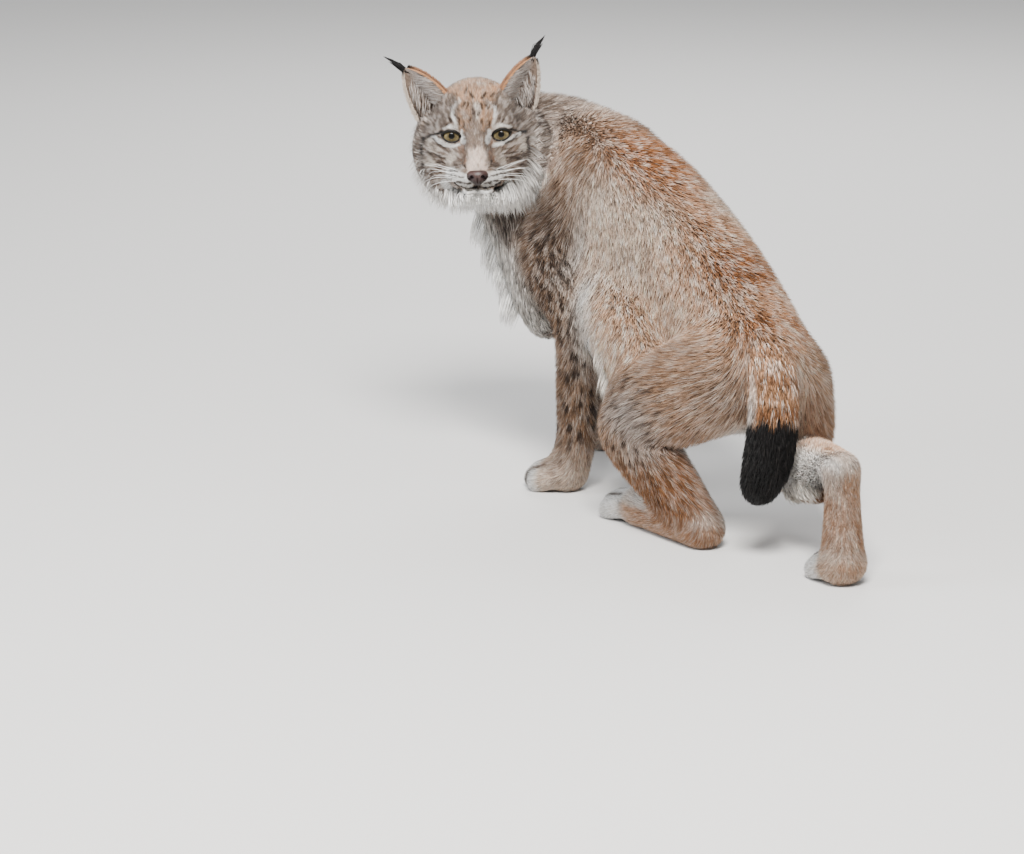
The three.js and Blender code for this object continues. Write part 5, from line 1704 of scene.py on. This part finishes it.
# %% Nose pad
PAD_CELL = 0.9
PAD_TOP = -47
PAD_MARGIN = 4
pad_parts = [Lump("head", [0, -54, 46], [14.5, 9.5, 10], 4, 0),
             Lump("head", [0, -60.5, 44], [6.5, 6.5, 9], 4, 0)]
pad_low = np.min([part.low for part in pad_parts], 0) - PAD_MARGIN
pad_high = np.max([part.high for part in pad_parts], 0) + PAD_MARGIN
pad_grid = [np.arange(a, b, PAD_CELL) for a, b in zip(pad_low, pad_high)]
pad_field = field_on_grid(pad_parts, pad_grid)
places, shape = grid_points(pad_grid)
local = to_head(places)
nostril = np.full(len(local), FAR)
for s in (-1, 1):
    hole = np.linalg.norm((local - [s * 7.2, -55.5, 53]) / [2.4, 2.1, 5], axis=1) - 1
    slit = np.linalg.norm((local - [s * 10.8, -57.5, 50]) / [4.0, 1.5, 4], axis=1) - 1
    nostril = np.minimum(nostril, np.minimum(hole * 2.5, slit * 1.6))
groove = np.abs(local[:, 0]) - 0.7 + rise(local[:, 1], -58, -52) * 3
nostril = np.minimum(nostril, np.maximum(groove, 53.5 - local[:, 2] - rise(-local[:, 1], 56, 64) * 3))
pad_field = np.maximum(pad_field, -nostril.reshape(shape))
pad_field = np.maximum(pad_field, (local[:, 1] - PAD_TOP).reshape(shape))
pad_points, pad_faces = surface_nets(pad_grid, pad_field)
pad_points = eased(pad_points, pad_faces)

# %% [markdown]
# The pad is dark brown and warmer on its flat top. Its sides, its underside and its nostrils are
# painted nearly black as painted shade. Its damp gloss comes from a low roughness and a thin clear
# coat, and its fine pebbles from bump, since they are smaller than a cell of the grid.

# %% The nose pad's colours
PAD_TONES = {
    "top": np.array([0.052, 0.025, 0.021]),
    "pebble": np.array([0.030, 0.014, 0.012]),
    # the side and nostril tones are painted shade
    "side": np.array([0.016, 0.008, 0.007]),
    "nostril": np.array([0.02, 0.01, 0.01]),
}
pad_local = to_head(pad_points)
deep_in = np.full(len(pad_points), FAR)
for s in (-1, 1):
    off_nostril = np.linalg.norm((pad_local - [s * 7.8, -56, 52]) / [5.2, 3.6, 6], axis=1)
    deep_in = np.minimum(deep_in, off_nostril)
pad_tone = mix(np.tile(PAD_TONES["top"], (len(pad_points), 1)), PAD_TONES["pebble"],
               value_noise(pad_points, 3, 31))
# painted shade on the pad's sides and underside
pad_side_shade = rise(np.abs(pad_local[:, 0]), 3, 7.5) * rise(-pad_local[:, 1], 50.5, 55)
pad_side_shade = np.maximum(pad_side_shade, rise(-pad_local[:, 1], 55, 63))
pad_tone = mix(pad_tone, PAD_TONES["side"], pad_side_shade)
# painted shade inside the nostrils
pad_tone = mix(pad_tone, PAD_TONES["nostril"], 1 - rise(deep_in, 0.75, 1.1))
NOSE = coloured_material("nose_skin", 0.38, vary=0.2, scale=1500, bump=(0.5, 0.0006),
                         Specular_IOR_Level=0.35, Coat_Weight=0.1, Coat_Roughness=0.25)
pad_chart = 0.5 + (pad_local[:, :2] - [0, -56]) / 60
pad = new_piece("nose_leather", pad_points, pad_faces, pad_tone, pad_chart)
finish_piece(pad, NOSE, "nose_skin", "nose_pad")
print("nose pad", len(pad_faces), "faces")

# %% [markdown]
# A dark thread lies in the cut between the lips, and a short one runs up from it to the nose pad,
# in the groove of the upper lip. Rays shot at the face from in front find where that one has to
# lie.

# %% Mouth seam
SEAM_STOPS = 48
GROOVE_STOPS = 12
SEAM_OUT = 1.2
SEAM_BLACK = [0.008, 0.005, 0.004]


def onto_face(x, y, over=0.0):
    """The place on the skin straight behind a point in front of the face."""
    start = on_head([x, y, 120])
    spot, _, _, _ = skin_tree.ray_cast(Vector(start), Vector(-face_out))
    if spot is None:
        return on_head([x, y, 20])
    return np.array(spot) + face_out * over


stops = np.linspace(0, len(mouth_seam) - 1, SEAM_STOPS)
lips_line = on_head(between(mouth_seam, stops) + [0, 0, SEAM_OUT])
lips_width = 1.4 - 0.7 * np.abs(stops / (len(mouth_seam) - 1) * 2 - 1) ** 2
groove_line = np.array([onto_face(0, y, -0.1) for y in np.linspace(-62, -72, GROOVE_STOPS)])
seam_points, seam_faces = joined([tube(lips_line, lips_width, 8),
                                  tube(groove_line, np.full(GROOVE_STOPS, 0.8), 8)])
mouth = new_piece("mouth_seam", seam_points, seam_faces, np.tile(SEAM_BLACK, (len(seam_points), 1)),
                  0.5 + (to_head(seam_points)[:, :2] - [0, -68]) / 90)
finish_piece(mouth, RIM, "coat_black")
print("mouth seam", len(seam_faces), "triangles")

# %% [markdown]
# Whiskers are stiff white hairs in four rows on each pad. Each starts just inside the skin, bows
# forwards and outwards, and thins to a point. They are few, and thick enough to be real tubes.

# %% Whiskers
# the height of each row at its roots and at its ends
WHISKER_ROWS = [(-46, -40), (-50, -49), (-55, -61), (-60, -74)]
WHISKER_ROOTS = (26, 34)
LOWEST_ROW = -58
WHISKER_STOPS = 14
WHISKER_WHITE = [0.92, 0.91, 0.88]
whisker_rows = []
s = np.linspace(0, 1, WHISKER_STOPS)[:, None]
for side in (-1, 1):
    for root_y, end_y in WHISKER_ROWS:
        for root_x in WHISKER_ROOTS[:1 if root_y < LOWEST_ROW else 2]:
            root = onto_face(side * root_x, root_y, -0.5)
            end = on_head([side * chance.uniform(62, 76), end_y + chance.uniform(-5, 5),
                           chance.uniform(-16, 4)])
            bow = side * face_left * 9 + face_out * 9 + face_up * 5
            line = root + (end - root) * s + bow * 4 * s * (1 - s) * chance.uniform(0.7, 1.2)
            whisker_rows.append(tube(line, np.linspace(0.3, 0.07, WHISKER_STOPS), 5))
whisker_points, whisker_faces = joined(whisker_rows)
WHISKER = coloured_material("whisker_hair", 0.35, vary=0.05, Specular_IOR_Level=0.5)
whiskers = new_piece("whiskers", whisker_points, whisker_faces,
                     np.tile(WHISKER_WHITE, (len(whisker_points), 1)),
                     0.5 + to_head(whisker_points)[:, :2] / 400)
finish_piece(whiskers, WHISKER, "coat_pale")
print(len(whisker_rows), "whiskers")

# %% [markdown]
# ## Ruff, beard and the coat's long edges
# The long locks stand where the CAD's locks do, each made of many fine curved tufts that start
# together, follow the lock and part at its tip.

# %% Long locks
# stations down the ruff: a place, the way of the hair and its length
RUFF = [[52, 14, -60, 0.95, 0.05, -0.2, 40], [54, -14, -54, 0.95, -0.35, -0.1, 52],
        [50, -40, -42, 0.8, -0.6, 0.05, 58], [38, -62, -28, 0.5, -0.95, 0.2, 56],
        [22, -74, -12, 0.15, -1, 0.3, 40]]
RUFF_END = 3.9
RUFF_LAYERS = [{"count": 8, "from": 0.1, "ahead": 0, "share": 1.0, "width": 30},
               {"count": 7, "from": 0.9, "ahead": 13, "share": 0.78, "width": 26}]
RUFF_SIDES = {1: {"wide": 1.14, "ahead": 14, "share": 1.08, "less": 0.05},
              -1: {"wide": 1, "ahead": 0, "share": 1, "less": 0.1}}
RUFF_STRAND = 0.95
LOCK_STOPS = 4
LOCK_HAIRS = 150
# the ruff's tips: grey hair mixed in, and painted shade
RUFF_TIP_GREY_AND_SHADE = mix(WHITE, ASH, 0.4)


def head_way(way):
    """A way in the head's axes, turned into the draft's."""
    return np.array(way, float) @ FACE


def lock_hairs(root, ways, flat, size, count, tones, strand):
    """Curves, widths and colours for the tufts of one lock, whose size is length, width, depth."""
    first, last = (unit(way) for way in ways)
    u = np.linspace(0, 1, LOCK_STOPS)
    length = size[0] * chance.uniform(0.6, 1.04, count)[:, None, None]
    line = (first * (u - u * u / 2)[:, None] + last * (u * u / 2)[:, None])[None]
    over = unit(flat - first * (flat @ first))
    across = np.cross(over, first)
    a, o = chance.uniform(-0.5, 0.5, (2, count))
    spread = (0.85 + 0.5 * u - 0.7 * u**2)[None, :, None]
    wobble = chance.normal(0, 1.4, (count, 1, 3)) * (u[None, :, None] * 1.6)
    aside = across * a[:, None] * size[1] + over * o[:, None] * size[2]
    curve = root + line * length + aside[:, None] * spread + wobble
    share = np.interp(u, [0, 0.3, 0.7, 1], [0.9, 1.05, 0.8, 0]) * strand
    lit = np.interp(u, [0, 0.5, 1], [0.6, 0.95, 1.08])[:, None]
    blend = mix(tones[0], tones[1], rise(u, 0.1, 0.8)) * lit
    shades = np.clip(blend[None] * np.exp(chance.normal(-0.06, 0.22, (count, 1, 1))), *TONE_LIMITS)
    return curve, np.repeat(share[None], count, 0), shades


def grow_locks(name, rows, slot):
    """One piece from the tufts of several locks."""
    curve, width, tone = (np.concatenate([row[n] for row in rows]) for n in range(3))
    curve[:, :, 2] = np.maximum(curve[:, :, 2], FLOOR_AT + FLOOR_GAP)
    place = survey(curve[:, 0])[3]
    points, faces, colours, patch = spikes(curve, width, tone, place)
    print(name, len(curve), "tufts", len(faces), "triangles")
    return finish_piece(new_piece(name, points, faces, colours, patch), FUR, slot)

# %% [markdown]
# Two layers of locks fan down each cheek, from grey at the ear to white at the chin. The back layer
# is longer, and the front one stands further ahead, so the ruff has depth. Each lock is painted
# darker at its root as painted shade, and its white tips are greyed, partly as grey hair and partly
# as painted shade.

# %% The ruff
rows = []
for side, part in RUFF_SIDES.items():
    for layer in RUFF_LAYERS:
        for i in range(layer["count"]):
            t = layer["from"] + (RUFF_END - layer["from"]) * i / (layer["count"] - 1)
            x, y, z, wx, wy, wz, length = between(RUFF, np.array([t]))[0]
            first = head_way([side * wx, wy, wz])
            last = unit(first) + head_way([side * -0.1, -0.7, 0.1])
            flat = head_way([-0.3 * side * wx, 0.1, 1])
            root = on_head([side * x * part["wide"], y, z + layer["ahead"] + part["ahead"]])
            size = [length * layer["share"] * (part["share"] - part["less"] * t), layer["width"], 13]
            foot = mix(mix(ASH, GREYBROWN, 0.7), WHITE, rise(t, 1.8, 3.6))
            # the root of each lock is darkened as painted shade
            tones = (foot * 0.75, RUFF_TIP_GREY_AND_SHADE)
            rows.append(lock_hairs(root, (first, last), flat, size, LOCK_HAIRS, tones, RUFF_STRAND))
grow_locks("ruff_locks", rows, "coat_pale")

# %% [markdown]
# The same locks, in rows, make the beard, the hair on chin and chest, and the long edges of the
# flank's fold and the stretched shank. Every root is moved onto the skin first, so no lock starts
# in the air. Neighbours sway to either side, and every third lock is shorter.

# %% Fringes
# each runs from a start to an end in so many locks, has a way, a bend and a flat side, and then
# gives the length of its hair and its colour
FRINGES = {
    "fringe_chest": ([506, 104, 362], [444, 92, 262], 7, [0.25, 0.3, -0.9], [-0.3, 0, -0.7],
                     [-0.3, 0.9, 0.2], 60, WHITE),
    "beard": (on_head([-26, -74, 2]), on_head([26, -74, 2]), 7, head_way([0, -1, 0.35]),
              head_way([0, -0.5, -0.2]), face_out, 34, WHITE),
    "chin_hair": (on_head([-11, -77, 22]), on_head([11, -77, 22]), 4, head_way([0, -1, 0.25]),
                  head_way([0, -0.4, -0.5]), face_out, 19, WHITE),
    "fringe_thigh": ([222, 86, 280], [180, 118, 170], 9, [0.5, 0.1, -0.8], [-0.3, 0, -0.6],
                     [0, 1, 0.2], 44, mix(PALE, WHITE, 0.3)),
    "fringe_shank": ([-16, -56, 88], [-112, -18, 112], 6, [-0.9, 0.3, -0.4], [-0.5, 0, 0.1],
                     [0.2, 1, 0.1], 34, mix(PALE, WHITE, 0.35)),
}
FRINGE_SUNK = np.array([-1.0])
FRINGE_SWAY = 0.12
FRINGE_STRAND = 1.2
for name, (start, end, count, way, bend, flat, length, tone) in FRINGES.items():
    rows = []
    for i in range(count):
        sway = FRINGE_SWAY * (1 if i % 2 else -1)
        first = np.array(way) + [sway, -sway, 0]
        root = np.array(start) + (np.array(end, float) - start) * i / (count - 1)
        root = lifted(root[None], FRINGE_SUNK)[0]
        size = [length * (0.85 if i % 3 == 1 else 1), 30, 16]
        ways = (first, unit(first) + bend)
        # each lock's root is painted a little darker than its tip, as painted shade
        rows.append(lock_hairs(root, ways, np.array(flat), size, LOCK_HAIRS, (tone * 0.9, tone),
                               FRINGE_STRAND))
    grow_locks(name, rows, "coat_pale")

# %% [markdown]
# ## Floor, light and camera
# A plain pale floor and soft studio light show the form. The camera stands where the photo was
# taken from: behind the animal and to its left, a little above it, with a long lens.

# %% Floor
FLOOR_HALF = 30
FLOOR_GREY = (0.66, 0.65, 0.635, 1)
floor_mesh = bpy.data.meshes.new("floor")
corners = [(x * FLOOR_HALF, y * FLOOR_HALF, 0) for x, y in ((-1, -1), (1, -1), (1, 1), (-1, 1))]
floor_mesh.from_pydata(corners, [], [(0, 1, 2, 3)])
floor = bpy.data.objects.new("floor", floor_mesh)
bpy.context.scene.collection.objects.link(floor)
floor_made, floor_tree, floor_shader = new_material("floor_paint", 0.8)
floor_shader.inputs["Base Color"].default_value = FLOOR_GREY
add_bump(floor_tree, floor_shader, noise(floor_tree, 6), 0.02, 0.001)
floor_mesh.materials.append(floor_made)
print("floor", 2 * FLOOR_HALF, "m wide")

# %% [markdown]
# Three large soft lamps and a faint even sky light the coat. Large lamps give soft shadows, which
# suit fur. The strongest stands high on the left, so that fine shadows of the tufts show the grain.

# %% Light
SKY = (0.95, 0.97, 1.0, 1)
SKY_STRENGTH = 0.55
world = bpy.data.worlds.new("studio")
world.use_nodes = True
sky = world.node_tree.nodes["Background"]
sky.inputs["Color"].default_value = SKY
sky.inputs["Strength"].default_value = SKY_STRENGTH
bpy.context.scene.world = world


def soft_light(name, place, aim, size, power, colour):
    """A square lamp of a given size in metres that shines towards a place."""
    data = bpy.data.lights.new(name, "AREA")
    data.size = size
    data.energy = power
    data.color = colour
    lamp = bpy.data.objects.new(name, data)
    lamp.location = place
    lamp.rotation_euler = (Vector(aim) - Vector(place)).to_track_quat("-Z", "Y").to_euler()
    bpy.context.scene.collection.objects.link(lamp)


soft_light("key", (-1.9, 1.2, 3.0), (0, 0, 0.35), 1.2, 330, (1, 0.98, 0.95))
soft_light("side", (0.9, 3.0, 1.6), (0, 0, 0.3), 1.6, 70, (0.95, 0.97, 1))
soft_light("back", (2.2, -1.6, 2.2), (0, 0, 0.3), 2.0, 75, (1, 1, 1))

# %% [markdown]
# The camera was found by fitting the draft's main points to the photo. A long lens far away keeps
# the near and the far legs almost the same size, as they are there.

# %% Camera
CAMERA_AT = np.array([-4860.03, 3175.66, 1705.23])
LOOK = Vector((0.8365163, -0.4829629, -0.2588191))
SENSOR_MM = 36
FOCAL_PIXELS = 4680
PHOTO_PIXELS = 1024
camera_data = bpy.data.cameras.new("photo_view")
camera_data.sensor_width = SENSOR_MM
camera_data.lens = SENSOR_MM * FOCAL_PIXELS / PHOTO_PIXELS
camera_data.clip_end = 100
camera = bpy.data.objects.new("photo_view", camera_data)
camera.location = to_world(CAMERA_AT)
camera.rotation_euler = LOOK.to_track_quat("-Z", "Y").to_euler()
bpy.context.scene.collection.objects.link(camera)
bpy.context.scene.camera = camera
print("camera at", [round(c, 3) for c in camera.location])
